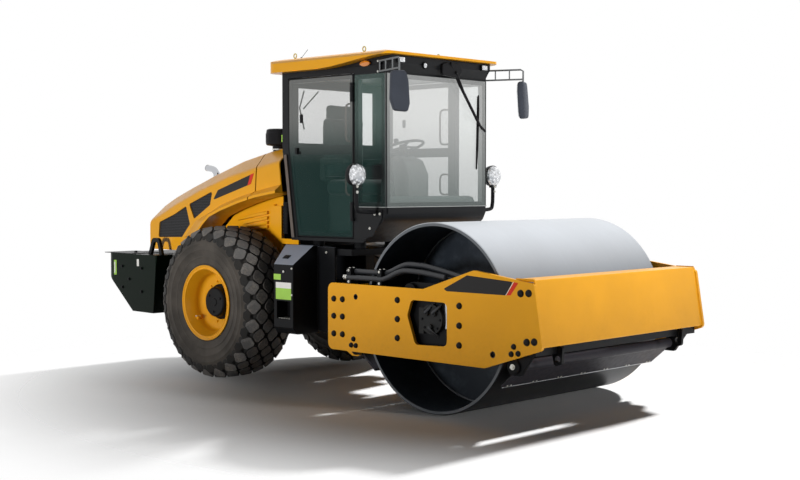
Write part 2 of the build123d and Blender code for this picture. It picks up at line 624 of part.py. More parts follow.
HOOD_WINDOWS = [  # x from the wheel axle and z, rear window then front window
    [(-975, 1561), (-790, 1642), (-726, 1461), (-860, 1326), (-1261, 1315), (-1242, 1472)],
    [(-741, 1663), (-360, 1795), (-401, 1656), (-660, 1513)],
]


def hood_skin():
    skin = hood_blank(0) - hood_blank(HOOD_WALL)
    skin -= arch_cut()
    lips = flare()
    ceiling = liner()
    whole = joined([skin, lips, other_side(lips), ceiling, other_side(ceiling)])
    front_cut = side_slab([(CAB_BACK - 20, HOOD_CLEAR), (CAB_BACK - 20, CAB_BEND_Z), (CAB_FOOT_X - 20, CAB_FLOOR - 200),
                           (AXLE_X + 1100, CAB_FLOOR - 200), (AXLE_X + 1100, HOOD_CLEAR)], -HOOD_HALF - 180,
                          HOOD_HALF + 180)
    return whole - front_cut


HOOD_PIN_X, HOOD_PIN_Z, HOOD_PIN_R = AXLE_X + 200, 2190, 10
KNUCKLE_Y = 200


def hood_knuckle(y0, y1, reach, bore):
    """A hinge knuckle over the seam, with the strap that carries it on the skin."""
    ring = rod((HOOD_PIN_X, y0, HOOD_PIN_Z), (HOOD_PIN_X, y1, HOOD_PIN_Z), HOOD_PIN_R + 8)
    ends = sorted((HOOD_PIN_X, HOOD_PIN_X + reach))
    strap = block(*ends, y0, y1, HOOD_PIN_Z - 55, HOOD_PIN_Z) - hood_blank(0)
    if not bore:
        return ring.fuse(strap)
    pin = rod((HOOD_PIN_X, y0 - 1, HOOD_PIN_Z), (HOOD_PIN_X, y1 + 1, HOOD_PIN_Z), HOOD_PIN_R + RUN_FIT)
    return ring.fuse(strap) - pin


def firewall():
    """The plate between the engine and the cab that stands on the chassis and carries the cowl."""
    x0, x1 = AXLE_X + 440, AXLE_X + 452
    upper = (hood_blank(HOOD_WALL) & block(x0, x1, -HOOD_HALF, HOOD_HALF, HOOD_BASE, HOOD_CLEAR)) - arch_cut()
    side = PANEL_Y - HOOD_WALL
    return upper.fuse(block(x0, x1, -side, side, CHASSIS_TOP, 1900))


skin = hood_skin()
hood = skin & seam_side(False)
cowl = skin & seam_side(True)
for y in (-KNUCKLE_Y, KNUCKLE_Y):
    pin = rod((HOOD_PIN_X, y - 60, HOOD_PIN_Z), (HOOD_PIN_X, y + 60, HOOD_PIN_Z), HOOD_PIN_R)
    hood = joined([hood, hood_knuckle(y - 19, y + 19, -70, False), pin])
    cowl = joined([cowl, hood_knuckle(y - 60, y - 21, 70, True), hood_knuckle(y + 21, y + 60, 70, True)])
for window in HOOD_WINDOWS:
    hood -= side_slab([(AXLE_X + x, z) for x, z in window], -HOOD_HALF - 1, HOOD_HALF + 1, 18)
hood -= block(HOOD_BACK - 5, HOOD_BACK + HOOD_WALL + 5, -360, 360, 1240, 1410)
add("hood_shell", hood)
add("hood_cowl", cowl)
add("engine_firewall", firewall() - skin)


def hood_grille():
    """Screens set behind the hood's side windows."""
    screens = []
    for window in HOOD_WINDOWS:
        grown = offset(make_face(Polyline(*[(AXLE_X + x, -HOOD_HALF + HOOD_WALL, z) for x, z in window],
                                          close=True)), 14)
        screens.append(extrude(grown, amount=8, dir=(0, 1, 0)))
    return Compound(children=screens)


screens = hood_grille()
back_screen = block(HOOD_BACK + HOOD_WALL, HOOD_BACK + HOOD_WALL + 10, -380, 380, 1220, 1430)
add("hood_grilles", Compound(children=[*both(screens).solids(), back_screen]))

EXHAUST_X, EXHAUST_Y = AXLE_X - 820, -300


def exhaust():
    z = 1840
    stack = pipe([(EXHAUST_X, EXHAUST_Y, z), (EXHAUST_X, EXHAUST_Y, z + 165), (EXHAUST_X - 150, EXHAUST_Y, z + 195)],
                 34, 60)
    return stack - hood_blank(0)


def precleaner():
    x, y = AXLE_X + 270, -400
    neck = rod((x, y, 2100), (x, y, 2240), 55) - hood_blank(0)
    return neck.fuse(rod((x, y, 2240), (x, y, 2400), 125))


add("exhaust_tip", exhaust())
add("air_precleaner", precleaner())

# --- Wheels --------------------------------------------------------------------------------------------------------


def tyre():
    half, outer, bead = TYRE_W / 2, TYRE_D / 2, RIM_FLANGE_R - 25
    profile = [
        (bead, -half + 45), (RIM_FLANGE_R, -half + 45), (outer - 200, -half), (outer - 105, -half + 5),
        (outer - 45, -half + 35), (outer - 12, -half + 95), (outer, -half + 180), (outer, half - 180),
        (outer - 12, half - 95), (outer - 45, half - 35), (outer - 105, half - 5), (outer - 200, half),
        (RIM_FLANGE_R, half - 45), (bead, half - 45),
    ]
    return turned([(r, y - TYRE_Y) for r, y in profile], AXLE_X, AXLE_Z)


def rim():
    bead, flange = RIM_FLANGE_R - 25, RIM_FLANGE_R
    outer, inner = -RIM_OUT, -RIM_IN
    profile = [
        (flange, outer), (flange, outer + 19), (bead, outer + 19), (bead, inner - 19), (flange, inner - 19),
        (flange, inner), (bead - RIM_T, inner), (bead - RIM_T, -DISC_Y + DISC_T), (WHEEL_BORE_R - 20, -DISC_Y + DISC_T),
        (WHEEL_BORE_R - 20, -DISC_Y), (bead - RIM_T - 90, -DISC_Y - 25), (bead - RIM_T - 45, -DISC_Y - 60),
        (bead - RIM_T - 38, outer + 75), (bead - RIM_T - 8, outer + 32), (bead - RIM_T, outer),
    ]
    return turned(profile, AXLE_X, AXLE_Z)


def wheel_hub():
    """The planetary hub: bolted behind the disc and standing through it."""
    inner, face = -SPINDLE_Y - 6, HUB_INSET - RIM_OUT
    bore = SPINDLE_R + RUN_FIT
    profile = [
        (bore, inner), (HUB_R + 78, inner), (HUB_R + 78, -DISC_Y + DISC_T), (WHEEL_BORE_R - 20, -DISC_Y + DISC_T),
        (WHEEL_BORE_R - 20, -DISC_Y - 20), (HUB_R, face + 50), (HUB_R, face + 14), (HUB_R - 14, face), (0, face),
        (0, -DISC_Y - 70), (bore, -DISC_Y - 70),
    ]
    return turned(profile, AXLE_X, AXLE_Z)


add_pair("tyre", tyre())
add_pair("rim", rim())
add_pair("wheel_hub", wheel_hub())

# --- Cab -----------------------------------------------------------------------------------------------------------
CAB_FRONT = AXLE_X + 1994
DOOR_FRONT = AXLE_X + 1598
CAB_OUTLINE = [
    (CAB_BACK, CAB_TOP), (CAB_BACK, CAB_BEND_Z), (CAB_FOOT_X, CAB_FLOOR), (AXLE_X + 1715, CAB_FLOOR),
    (CAB_FRONT - 35, 1530), (CAB_FRONT, 1600), (CAB_FRONT, CAB_TOP),
]
DOOR_OUTLINE = [
    (CAB_BACK + 90, 2840), (CAB_BACK + 90, CAB_BEND_Z + 5), (CAB_FOOT_X + 88, 1375), (DOOR_FRONT, 1375),
    (DOOR_FRONT, 2840),
]
SCREEN_LOW, SCREEN_TOP, SCREEN_HALF = 1659, 2825, 663
REAR_LOW, REAR_TOP, REAR_HALF = 2250, 2770, 520  # the rear window
SIDE_GLASS_X0 = DOOR_FRONT + 22
GLASS_LAP = 40  # how far a bonded pane laps its frame


def inset_slab(points, inset, y0, y1):
    face = offset(make_face(Polyline(*[(x, y0, z) for x, z in points], close=True)), -inset,
                  kind=Kind.INTERSECTION)
    return extrude(face, amount=y1 - y0, dir=(0, 1, 0))


KNUCKLE_H, EAR_H, HINGE_R = 110, 28, 12
HINGES_AT = (1560, 2620)  # heights of the door's hinge knuckles
HINGE_X, HINGE_Y = DOOR_FRONT + DOOR_GAP / 2, -CAB_HALF - 22


def hinge_ear(z):
    """One of the cab's two ears round a door hinge pin."""
    arm = block(HINGE_X + 6, HINGE_X + 18, HINGE_Y - 8, -CAB_HALF, z, z + EAR_H)
    ring = rod((HINGE_X, HINGE_Y, z), (HINGE_X, HINGE_Y, z + EAR_H), HINGE_R + 8)
    pin = rod((HINGE_X, HINGE_Y, z - 1), (HINGE_X, HINGE_Y, z + EAR_H + 1), HINGE_R + RUN_FIT)
    return ring.fuse(arm) - pin


def cab_frame():
    """The cab's welded shell, with its door, window and roof openings cut."""
    shell = side_slab(CAB_OUTLINE, -CAB_HALF, CAB_HALF)
    shell -= inset_slab(CAB_OUTLINE, CAB_WALL, -CAB_HALF + CAB_WALL, CAB_HALF - CAB_WALL)
    doorway = inset_slab(DOOR_OUTLINE, -DOOR_GAP, -CAB_HALF - 1, -CAB_HALF + CAB_WALL + 1)
    shell = shell - doorway - other_side(doorway)
    low, top = SCREEN_LOW + GLASS_LAP, SCREEN_TOP - GLASS_LAP
    shell -= block(CAB_FRONT - CAB_WALL - 1, CAB_FRONT + 1, -SCREEN_HALF + GLASS_LAP, SCREEN_HALF - GLASS_LAP, low, top)
    shell -= block(SIDE_GLASS_X0 + GLASS_LAP, CAB_FRONT - CAB_WALL, -CAB_HALF - 1, CAB_HALF + 1, low, top)
    shell -= block(CAB_BACK - 1, CAB_BACK + CAB_WALL + 1, -REAR_HALF, REAR_HALF, REAR_LOW, REAR_TOP)
    ears = joined([hinge_ear(z) for low in HINGES_AT for z in (low - EAR_H - 2, low + KNUCKLE_H + 2)])
    return joined([shell, ears, other_side(ears)])


def windscreen():
    return block(CAB_FRONT, CAB_FRONT + GLASS_T, -SCREEN_HALF, SCREEN_HALF, SCREEN_LOW, SCREEN_TOP)


def side_glass():
    return block(SIDE_GLASS_X0, CAB_FRONT, -CAB_HALF - GLASS_T, -CAB_HALF, SCREEN_LOW, SCREEN_TOP)


def rear_window():
    return block(CAB_BACK + 20, CAB_BACK + 20 + GLASS_T, -REAR_HALF, REAR_HALF, REAR_LOW, REAR_TOP)


RAIL_LOW, RAIL_TOP = 2125, 2212


def door_parts():
    """A door's frame with its middle rail, and the two panes that fill it."""
    y0, y1 = -CAB_HALF, -CAB_HALF + DOOR_T
    leaf = side_slab(DOOR_OUTLINE, y0, y1)
    hole = inset_slab(DOOR_OUTLINE, DOOR_RAIL, y0 - 1, y1 + 1)
    rail = block(CAB_BACK, DOOR_FRONT, y0, y1, RAIL_LOW, RAIL_TOP)
    frame = leaf - (hole - rail)
    pane = inset_slab(DOOR_OUTLINE, DOOR_RAIL, y0 + 10, y0 + 10 + GLASS_T) - rail
    reach = EAR_H + 2
    hinges = [rod((HINGE_X, HINGE_Y, z - reach), (HINGE_X, HINGE_Y, z + KNUCKLE_H + reach), HINGE_R)
              for z in HINGES_AT]
    tabs = [block(HINGE_X - 30, HINGE_X - 6, HINGE_Y, y0, z, z + KNUCKLE_H) for z in HINGES_AT]
    handle = block(AXLE_X + 850, AXLE_X + 880, y0 - 30, y0, RAIL_LOW + 15, RAIL_TOP - 15)
    return joined([frame, *hinges, *tabs, handle]), pane


door, pane = door_parts()
add("cab_frame", cab_frame())
add("cab_glass", Compound(children=[windscreen(), *both(side_glass()).solids(), rear_window()]))
add_pair("door", door)
add_pair("door_glass", pane)


ROOF_X0, ROOF_X1, ROOF_HALF = AXLE_X + 500, AXLE_X + 2105, 770
ROOF_UNDER = [  # the roof's underside from its front edge back: x from the wheel axle, height over the cab's top
    (2105, 86), (1939, 76), (1764, 58), (1584, 34), (1401, 12), (1213, 0),
]
VISOR = 60  # how far the header stands out from the windscreen
HEADER_HALF = 670


def roof_underside():
    return [(AXLE_X + x, CAB_TOP + rise) for x, rise in ROOF_UNDER]


def roof():
    """The roof cap: deep at the back and sides, thin along its front edge, with rounded shoulders."""
    x0, x1, top = ROOF_X0, ROOF_X1, CAB_TOP + 145
    side = side_slab([(x0, CAB_TOP), (x0 + 5, top - 55), (x0 + 60, top - 25), (x0 + 560, top), (x1 - 160, top - 12),
                      (x1, top - 38), *roof_underside()], -ROOF_HALF, ROOF_HALF)
    plan = plan_slab([(x0, -ROOF_HALF), (x1, -ROOF_HALF), (x1, ROOF_HALF), (x0, ROOF_HALF)], CAB_TOP - 1, top + 1,
                     [130, 110, 110, 130])
    dome = front_slab([(-ROOF_HALF, CAB_TOP - 1), (-ROOF_HALF, top - 62), (-ROOF_HALF + 20, top - 42),
                       (-ROOF_HALF + 90, top - 20), (0, top), (ROOF_HALF - 90, top - 20), (ROOF_HALF - 20, top - 42),
                       (ROOF_HALF, top - 62), (ROOF_HALF, CAB_TOP - 1)], x0, x1)
    return side & plan & dome


def roof_header():
    """The black visor under the roof's front edge, which holds the lamps."""
    under = roof_underside()
    (x0, z0), (x1, z1) = under[:2]
    front = CAB_FRONT + VISOR
    return side_slab([(CAB_FRONT, CAB_TOP), (CAB_FRONT, CAB_TOP - 60), (front - 15, CAB_TOP + 5), (front, CAB_TOP + 20),
                      (front, z1 + (z0 - z1) * (front - x1) / (x0 - x1)), *under[1:]], -HEADER_HALF, HEADER_HALF)


add("cab_roof", roof())
add("roof_header", roof_header())


def seat():
    """A suspension seat: base, cushion, backrest and headrest."""
    x, y, low = AXLE_X + 1050, -110, CAB_FLOOR + CAB_WALL
    base = block(x - 120, x + 260, y - 200, y + 200, low, low + 369)
    cushion = block(x - 200, x + 320, y - 250, y + 250, low + 369, low + 509)
    back = side_slab([(x - 200, low + 509), (x - 90, low + 509), (x - 160, low + 1059), (x - 250, low + 1059)],
                     y - 230, y + 230)
    stalks = block(x - 215, x - 195, y - 60, y + 60, low + 1059, low + 1100)
    rest = block(x - 255, x - 165, y - 150, y + 150, low + 1100, low + 1230)
    return joined([base, cushion, back, stalks, rest])


def console():
    """The column that carries the steering wheel, rounded over at its top."""
    x, low = CAB_FRONT - 330, CAB_FLOOR + CAB_WALL
    return side_slab([(x - 60, low), (x + 15, low), (x + 110, low + 90), (x + 110, low + 560), (x + 40, low + 690),
                      (x - 100, low + 740), (x - 125, low + 700)], -130, 130)


WHEEL_Z = CAB_FLOOR + 865


def steering_wheel():
    tilt = Plane(origin=(CAB_FRONT - 430, 0, WHEEL_Z), z_dir=(-0.3, 0, 1))
    wheel = tilt * Torus(190, 13)
    hub = tilt * (Pos(0, 0, -50) * Cylinder(35, 140)) - console()
    spokes = [tilt * (Rot(0, 0, a) * (Pos(95, 0, 0) * Box(190, 26, 12))) for a in (90, 210, 330)]
    return joined([wheel, hub, *spokes])


add("driver_seat", seat())
add("steering_console", console())
add("steering_wheel", steering_wheel())


MIRROR_X, MIRROR_Y, MIRROR_Z = AXLE_X + 2311, -CAB_HALF - 160, CAB_TOP - 256
MIRROR_TOE = 20  # degrees a head is turned to face the driver
ARM_X = CAB_FRONT - 75


def mirror_assembly():
    """The ladder arm that reaches forward from the cab's front post, and the mirror head on its end."""
    root, tip = (ARM_X, -CAB_HALF - 10), (MIRROR_X, MIRROR_Y)
    part_way = lambda share: (root[0] + (tip[0] - root[0]) * share, root[1] + (tip[1] - root[1]) * share)
    low, top = CAB_TOP - 60, CAB_TOP + 30
    foot = block(ARM_X - 16, ARM_X + 16, -CAB_HALF - 18, -CAB_HALF, low - 14, top + 12)
    bars = [rod((*root, z), (*tip, z), 8) for z in (low, top)]
    rungs = [rod((*part_way(share), low), (*part_way(share), top), 6) for share in (0.35, 0.68)]
    post = rod((*tip, MIRROR_Z + 100), (*tip, top + 12), 11)
    head = Pos(MIRROR_X, MIRROR_Y, MIRROR_Z) * (Rot(0, 0, -MIRROR_TOE) * (Rot(0, -4, 0) * Box(62, 182, 352)))
    return joined([foot, *bars, *rungs, post, head])


LAMP_X, LAMP_Y, LAMP_Z, LAMP_R = AXLE_X + 1880, -CAB_HALF - 232, CAB_FLOOR + 592, 80


def work_lamp():
    """A round lamp on a post whose arm is bolted to the cab below the side glass."""
    lamp = rod((LAMP_X - 45, LAMP_Y, LAMP_Z), (LAMP_X + 50, LAMP_Y, LAMP_Z), LAMP_R)
    post = block(LAMP_X - 15, LAMP_X + 15, LAMP_Y - 12, LAMP_Y + 12, 1600, LAMP_Z - LAMP_R + 8)
    arm = block(LAMP_X - 15, LAMP_X + 15, LAMP_Y - 12, -CAB_HALF, 1600, 1630)
    return joined([lamp, post, arm])


def roof_lamps():
    return block(CAB_FRONT + 30, CAB_FRONT + 88, -600, -520, CAB_TOP + 18, CAB_TOP + 66) - roof_header()


add("mirrors", both(mirror_assembly()))
add("work_lamps", both(work_lamp()))
add("roof_lamps", both(roof_lamps()))

# --- Files ---------------------------------------------------------------------------------------------------------
os.makedirs("parts", exist_ok=True)
for name, shape in parts.items():
    solids = shape.solids()
    export_step(solids[0] if len(solids) == 1 else Compound(children=list(solids)), f"parts/{name}.step")
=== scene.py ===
"""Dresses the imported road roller: its finishes, its fine forms and the studio round it.

Lengths are millimetres in the machine's own frame: +X forward to the drum, +Y left, +Z up. A function under
"@part" fills one piece's form. Under "both=True" it gives the right side, and its mirror image follows.
"""

import json
from math import cos, radians, sin, tau

import bmesh
import bpy
from bpy.types import Operator, Panel, PropertyGroup
from mathutils import Matrix, Vector
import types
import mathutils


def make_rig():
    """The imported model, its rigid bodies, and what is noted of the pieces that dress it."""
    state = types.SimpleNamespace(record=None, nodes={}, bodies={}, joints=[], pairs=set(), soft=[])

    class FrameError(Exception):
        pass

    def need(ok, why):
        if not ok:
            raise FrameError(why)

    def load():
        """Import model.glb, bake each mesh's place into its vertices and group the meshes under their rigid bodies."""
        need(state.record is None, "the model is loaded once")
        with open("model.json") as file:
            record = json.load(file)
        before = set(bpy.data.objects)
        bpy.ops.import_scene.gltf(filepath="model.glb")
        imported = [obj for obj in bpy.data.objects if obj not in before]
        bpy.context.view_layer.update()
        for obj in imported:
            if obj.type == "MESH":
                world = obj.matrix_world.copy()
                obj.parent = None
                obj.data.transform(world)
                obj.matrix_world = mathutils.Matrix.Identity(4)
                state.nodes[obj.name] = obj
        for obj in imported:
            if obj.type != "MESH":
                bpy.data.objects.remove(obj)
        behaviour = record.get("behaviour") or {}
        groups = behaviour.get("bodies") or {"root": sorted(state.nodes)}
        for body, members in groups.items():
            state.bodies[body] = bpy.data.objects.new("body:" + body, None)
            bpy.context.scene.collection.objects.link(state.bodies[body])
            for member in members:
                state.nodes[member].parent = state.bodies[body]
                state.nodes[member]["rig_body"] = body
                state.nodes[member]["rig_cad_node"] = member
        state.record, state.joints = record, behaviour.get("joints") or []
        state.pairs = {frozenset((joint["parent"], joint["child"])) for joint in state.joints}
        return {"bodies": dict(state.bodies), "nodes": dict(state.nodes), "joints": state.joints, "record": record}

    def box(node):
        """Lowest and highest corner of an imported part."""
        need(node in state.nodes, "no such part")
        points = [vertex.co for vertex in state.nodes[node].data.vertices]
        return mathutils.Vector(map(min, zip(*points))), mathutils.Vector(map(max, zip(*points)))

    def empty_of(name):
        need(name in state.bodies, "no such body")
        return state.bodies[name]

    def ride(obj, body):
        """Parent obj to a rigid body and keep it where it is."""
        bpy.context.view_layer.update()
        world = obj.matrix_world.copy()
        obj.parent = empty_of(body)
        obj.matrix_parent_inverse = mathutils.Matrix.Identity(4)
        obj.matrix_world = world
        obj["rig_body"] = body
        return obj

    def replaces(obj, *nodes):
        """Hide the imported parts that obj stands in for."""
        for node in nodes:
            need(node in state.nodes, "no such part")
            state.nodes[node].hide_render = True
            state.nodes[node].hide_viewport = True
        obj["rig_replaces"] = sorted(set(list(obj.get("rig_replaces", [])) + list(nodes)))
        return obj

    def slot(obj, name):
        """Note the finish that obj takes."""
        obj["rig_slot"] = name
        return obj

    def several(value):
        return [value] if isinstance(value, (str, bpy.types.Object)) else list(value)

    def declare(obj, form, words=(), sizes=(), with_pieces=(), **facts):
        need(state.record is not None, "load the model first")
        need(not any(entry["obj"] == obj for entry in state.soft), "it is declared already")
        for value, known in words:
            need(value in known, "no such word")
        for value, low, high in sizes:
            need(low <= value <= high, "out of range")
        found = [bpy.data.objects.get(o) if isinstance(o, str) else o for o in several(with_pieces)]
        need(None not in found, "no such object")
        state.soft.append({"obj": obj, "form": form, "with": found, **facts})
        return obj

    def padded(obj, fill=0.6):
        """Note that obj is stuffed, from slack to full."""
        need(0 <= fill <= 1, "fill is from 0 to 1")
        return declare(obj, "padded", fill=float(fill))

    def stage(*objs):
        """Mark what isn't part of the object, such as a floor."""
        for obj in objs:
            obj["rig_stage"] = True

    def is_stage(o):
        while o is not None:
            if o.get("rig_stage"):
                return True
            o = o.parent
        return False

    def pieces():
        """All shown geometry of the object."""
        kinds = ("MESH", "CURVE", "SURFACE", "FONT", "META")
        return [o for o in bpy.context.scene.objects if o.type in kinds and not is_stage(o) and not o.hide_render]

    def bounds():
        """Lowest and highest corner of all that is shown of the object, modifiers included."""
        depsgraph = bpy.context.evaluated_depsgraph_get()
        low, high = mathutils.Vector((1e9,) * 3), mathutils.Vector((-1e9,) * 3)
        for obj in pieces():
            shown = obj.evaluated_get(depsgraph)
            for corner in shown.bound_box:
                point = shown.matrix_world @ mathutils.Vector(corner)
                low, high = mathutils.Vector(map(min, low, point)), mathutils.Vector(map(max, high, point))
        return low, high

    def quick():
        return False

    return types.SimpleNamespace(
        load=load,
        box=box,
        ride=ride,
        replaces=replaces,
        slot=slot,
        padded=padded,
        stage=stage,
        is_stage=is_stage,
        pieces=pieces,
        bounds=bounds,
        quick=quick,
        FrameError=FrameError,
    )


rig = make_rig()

bl_info = {
    "name": "Road roller",
    "version": (1, 0, 0),
    "blender": (4, 5, 0),
    "location": "View3D > Sidebar > Roller",
    "description": "Finishes and fine forms for a single-drum road roller",
    "category": "Object",
}

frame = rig.load()
cad_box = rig.bounds()
MM = 0.001


# --- Places read from the frame ---
def middle(node):
    low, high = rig.box(node)
    return (low + high) / 2 / MM


def reach(node, corner, axis):
    """One corner value of a node's box: corner 0 is its lowest, 1 its highest."""
    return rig.box(node)[corner][axis] / MM


DRUM_X, _, DRUM_R = middle("drum_shell")
DRUM_HALF = reach("drum_shell", 1, 1)
AXLE_X, TYRE_Y, AXLE_Z = middle("tyre_right")
PLATE_OUT = reach("side_plate_right", 0, 1)  # the right side plate's outer face
PLATE_IN = reach("side_plate_right", 1, 1)
CAB_SIDE = reach("cab_glass", 0, 1) + 6  # the right wall's outer face
CAB_TOP = reach("roof_header", 0, 2) + 60
CAB_FRONT = reach("cab_glass", 1, 0) - 6
DECK_Z = reach("rear_bumper", 1, 2) - 172
BUMPER_BACK = reach("rear_bumper", 0, 0)
HOOD_BACK = reach("hood_shell", 0, 0)
HOOD_SIDE = -720.0


# --- Settings that a user would change ---
def colour(name, description, default):
    return bpy.props.FloatVectorProperty(
        name=name, description=description, default=default, subtype="COLOR", min=0, max=1)


def length(name, description, default, least=0):
    return bpy.props.FloatProperty(
        name=name, description=description, default=default, min=least, unit="LENGTH")


class RollerColours(PropertyGroup):
    paint: colour("Body paint", "The frame, hood and roof", (0.80, 0.362, 0.010))
    dark: colour("Dark paint", "The chassis, the cab and the counterweight", (0.0055, 0.0058, 0.0066))
    drum: colour("Drum steel", "The rolling face of the drum", (0.47, 0.505, 0.55))
    tint: colour("Glass tint", "The side and door glass", (0.014, 0.056, 0.048))
    tyre: colour("Tyre rubber", "The tyres' clean rubber", (0.020, 0.0195, 0.019))
    dust: colour("Dust", "What settles on rubber and steps", (0.16, 0.14, 0.12))


class RollerSizes(PropertyGroup):
    lug_depth: length("Lug depth", "Height of the tyres' tread blocks", 0.032)
    edge: length("Edge radius", "Rounding along the plates' cut edges", 0.0035)
    floor: length("Floor radius", "Radius of the studio floor", 40, 1)


def colours():
    return bpy.context.scene.roller_colours


def sizes():
    return bpy.context.scene.roller_sizes


# --- Shader maths ---
class Value:
    """A shader value. Sums on it add Math nodes to its tree."""

    def __init__(self, owner, socket):
        self.owner, self.socket = owner, socket

    def math(self, operation, *terms, clamp=False):
        return self.owner.node("Math", {"operation": operation, "use_clamp": clamp}, dict(enumerate(terms)))

    def __add__(self, other):
        return self.math("ADD", self, other)

    def __mul__(self, other):
        return self.math("MULTIPLY", self, other)

    def __sub__(self, other):
        return self.math("SUBTRACT", self, other)

    def __rsub__(self, other):
        return self.math("SUBTRACT", other, self)

    __radd__, __rmul__ = __add__, __mul__

    def step(self, low, high):
        """0 below low, 1 above high, and smooth between."""
        return self.owner.node("MapRange", {"interpolation_type": "SMOOTHSTEP"}, {0: self, 1: low, 2: high})


class Nodes:
    """A node tree and the one way to add to it."""

    def __init__(self, tree):
        self.tree = tree

    def node(self, kind, settings=(), inputs=(), out=0):
        made = self.tree.nodes.new("ShaderNode" + kind)
        for key, value in dict(settings).items():
            setattr(made, key, value)
        for key, value in dict(inputs).items():
            self.put(made.inputs[key], value)
        return Value(self, made.outputs[out])

    def put(self, target, value):
        """Sets a socket, or links it."""
        if isinstance(value, Value):
            self.tree.links.new(value.socket, target)
        elif isinstance(value, tuple) and len(target.default_value) == 4:
            target.default_value = (*value[:3], 1)
        else:
            target.default_value = value


class Finish(Nodes):
    """One material: its surface shader and the nodes that feed it."""

    def __init__(self, name):
        self.material = bpy.data.materials.new("fine_" + name)
        self.material.use_nodes = True
        super().__init__(self.material.node_tree)
        self.shader = self.tree.nodes["Principled BSDF"]

    def feed(self, **values):
        """Feeds the surface shader's sockets, each by its name in small letters."""
        for key, value in values.items():
            self.put(self.shader.inputs[key.replace("_", " ").title().replace("Ior", "IOR")], value)

    def place(self, scale=(1, 1, 1)):
        """The point in the machine's frame, in metres, stretched by scale."""
        where = self.node("TexCoord", out=3)
        return self.node("VectorMath", {"operation": "MULTIPLY"}, {0: where, 1: scale})

    def noise(self, scale, detail=3, rough=0.5, stretch=(1, 1, 1)):
        return self.node("TexNoise", {}, {"Vector": self.place(stretch), "Scale": scale, "Detail": detail,
                                          "Roughness": rough})

    def cells(self, scale, stretch=(1, 1, 1), random=1.0, distance="EUCLIDEAN"):
        return self.node("TexVoronoi", {"distance": distance}, {"Vector": self.place(stretch), "Scale": scale,
                                                                "Randomness": random})

    def mix(self, amount, first, second):
        return self.node("Mix", {"data_type": "RGBA"}, {0: amount, 6: first, 7: second}, out=2)

    def bump(self, height, depth, strength=1):
        """Raises the surface by depth metres where height is 1."""
        self.feed(normal=self.node("Bump", {}, {"Strength": strength, "Distance": depth, "Height": height}))

    def height(self, place=None):
        return self.node("SeparateXYZ", {}, {0: place or self.place()}, out=2)


def shade(tone, factor):
    return tuple(min(1, c * factor) for c in tone)


# --- Finishes ---
def painted(f, tone, gloss, peel, coat, dirt, shine):
    """Paint on plate: a faint cloudiness, orange peel under a clear coat, and dust in the low places."""
    f.feed(coat_weight=coat, coat_roughness=0.06, ior=1.5, specular_ior_level=shine)
    cloud, fine = f.noise(2.2, 4), f.noise(26, 3, 0.6)
    base = f.mix(cloud.step(0.3, 0.75), shade(tone, 0.955), shade(tone, 1.045))
    low = (1 - f.height().step(0.15, 1.0)) * fine.step(0.42, 0.72) * dirt
    f.feed(base_color=f.mix(low, base, shade(colours().dust, 0.5)),
           roughness=gloss + 0.12 * fine.step(0.35, 0.8) + 0.25 * low)
    f.bump(f.noise(230, 2, 0.5) + 0.4 * f.noise(900, 1), peel, 0.35)


def drum_steel(f, tone):
    """Rolled plate: fine lines round the drum, soft patches of tone and a few scuffs across it, with painted shade low
    down and a painted highlight high up.
    """
    lines, patch = f.noise(3, 4, 0.6, (0.6, 90, 0.6)), f.noise(1.3, 5, 0.6)
    scuff = f.noise(20, 4, 0.7, (1, 0.25, 1)).step(0.62, 0.78)
    base = f.mix(patch.step(0.3, 0.7), shade(tone, 0.94), shade(tone, 1.05))
    base = f.mix(lines.step(0.35, 0.7) * 0.35, base, shade(tone, 0.86))
    base = f.mix(scuff * 0.25, base, shade(tone, 1.25))
    # Painted light by world height: the face is painted half way to black below 1.0 m and near black below 0.42 m as
    # painted shade under the frame. Above 1.58 m it is painted a fifth of the way to white as a painted sky highlight.
    height = f.height(f.node("NewGeometry"))
    base = f.mix(height.step(1.0, 1.58), f.mix(0.50, base, (0, 0, 0)), f.mix(0.22, base, (1, 1, 1)))
    f.feed(metallic=0.35, base_color=f.mix(height.step(0.42, 0.66), shade(tone, 0.035), base),
           roughness=0.34 + 0.12 * lines + 0.1 * patch)
    f.bump(lines + 0.5 * scuff, 0.0003, 0.3)


def drum_inside(f):
    rust = f.noise(7, 5, 0.65)
    f.feed(specular_ior_level=0.35, roughness=0.36 + 0.22 * f.noise(40, 2),
           base_color=f.mix(rust.step(0.45, 0.75), (0.016, 0.020, 0.026), (0.034, 0.041, 0.050)))
    f.bump(rust + 0.2 * f.noise(160, 2), 0.0006, 0.4)


def mottled(f, noise, low, high, rough, spread, metallic=0, bump=None):
    """Metal or rubber whose tone and gloss change with one noise."""
    grain = f.noise(*noise)
    f.feed(metallic=metallic, base_color=f.mix(grain, low, high), roughness=rough + spread * grain)
    if bump:
        f.bump(grain, *bump)


def block_iron(f):
    f.feed(roughness=0.5, specular_ior_level=0.2,
           base_color=f.mix(f.noise(12, 4, 0.6), (0.008, 0.0085, 0.009), (0.026, 0.026, 0.025)))
    f.bump(f.noise(90, 3), 0.0008, 0.5)


def rubber(f, clean, dusty, amount):
    """Rubber with dry dust in patches."""
    patch, fine = f.noise(6, 5, 0.65), f.noise(70, 3, 0.6)
    dust = patch.step(0.36, 0.70) * fine.step(0.3, 0.7)
    f.feed(ior=1.45, specular_ior_level=0.25, base_color=f.mix(dust * amount, clean, dusty),
           roughness=0.60 + 0.3 * dust)
    f.bump(fine + 0.6 * f.noise(260, 2), 0.0012, 0.55)


def sidewall(f, low, high):
    patch, fine = f.noise(4, 5, 0.6), f.noise(120, 3, 0.6)
    f.feed(ior=1.45, base_color=f.mix(patch.step(0.3, 0.7), low, high), roughness=0.66 + 0.2 * fine)
    f.bump(fine, 0.0006, 0.45)


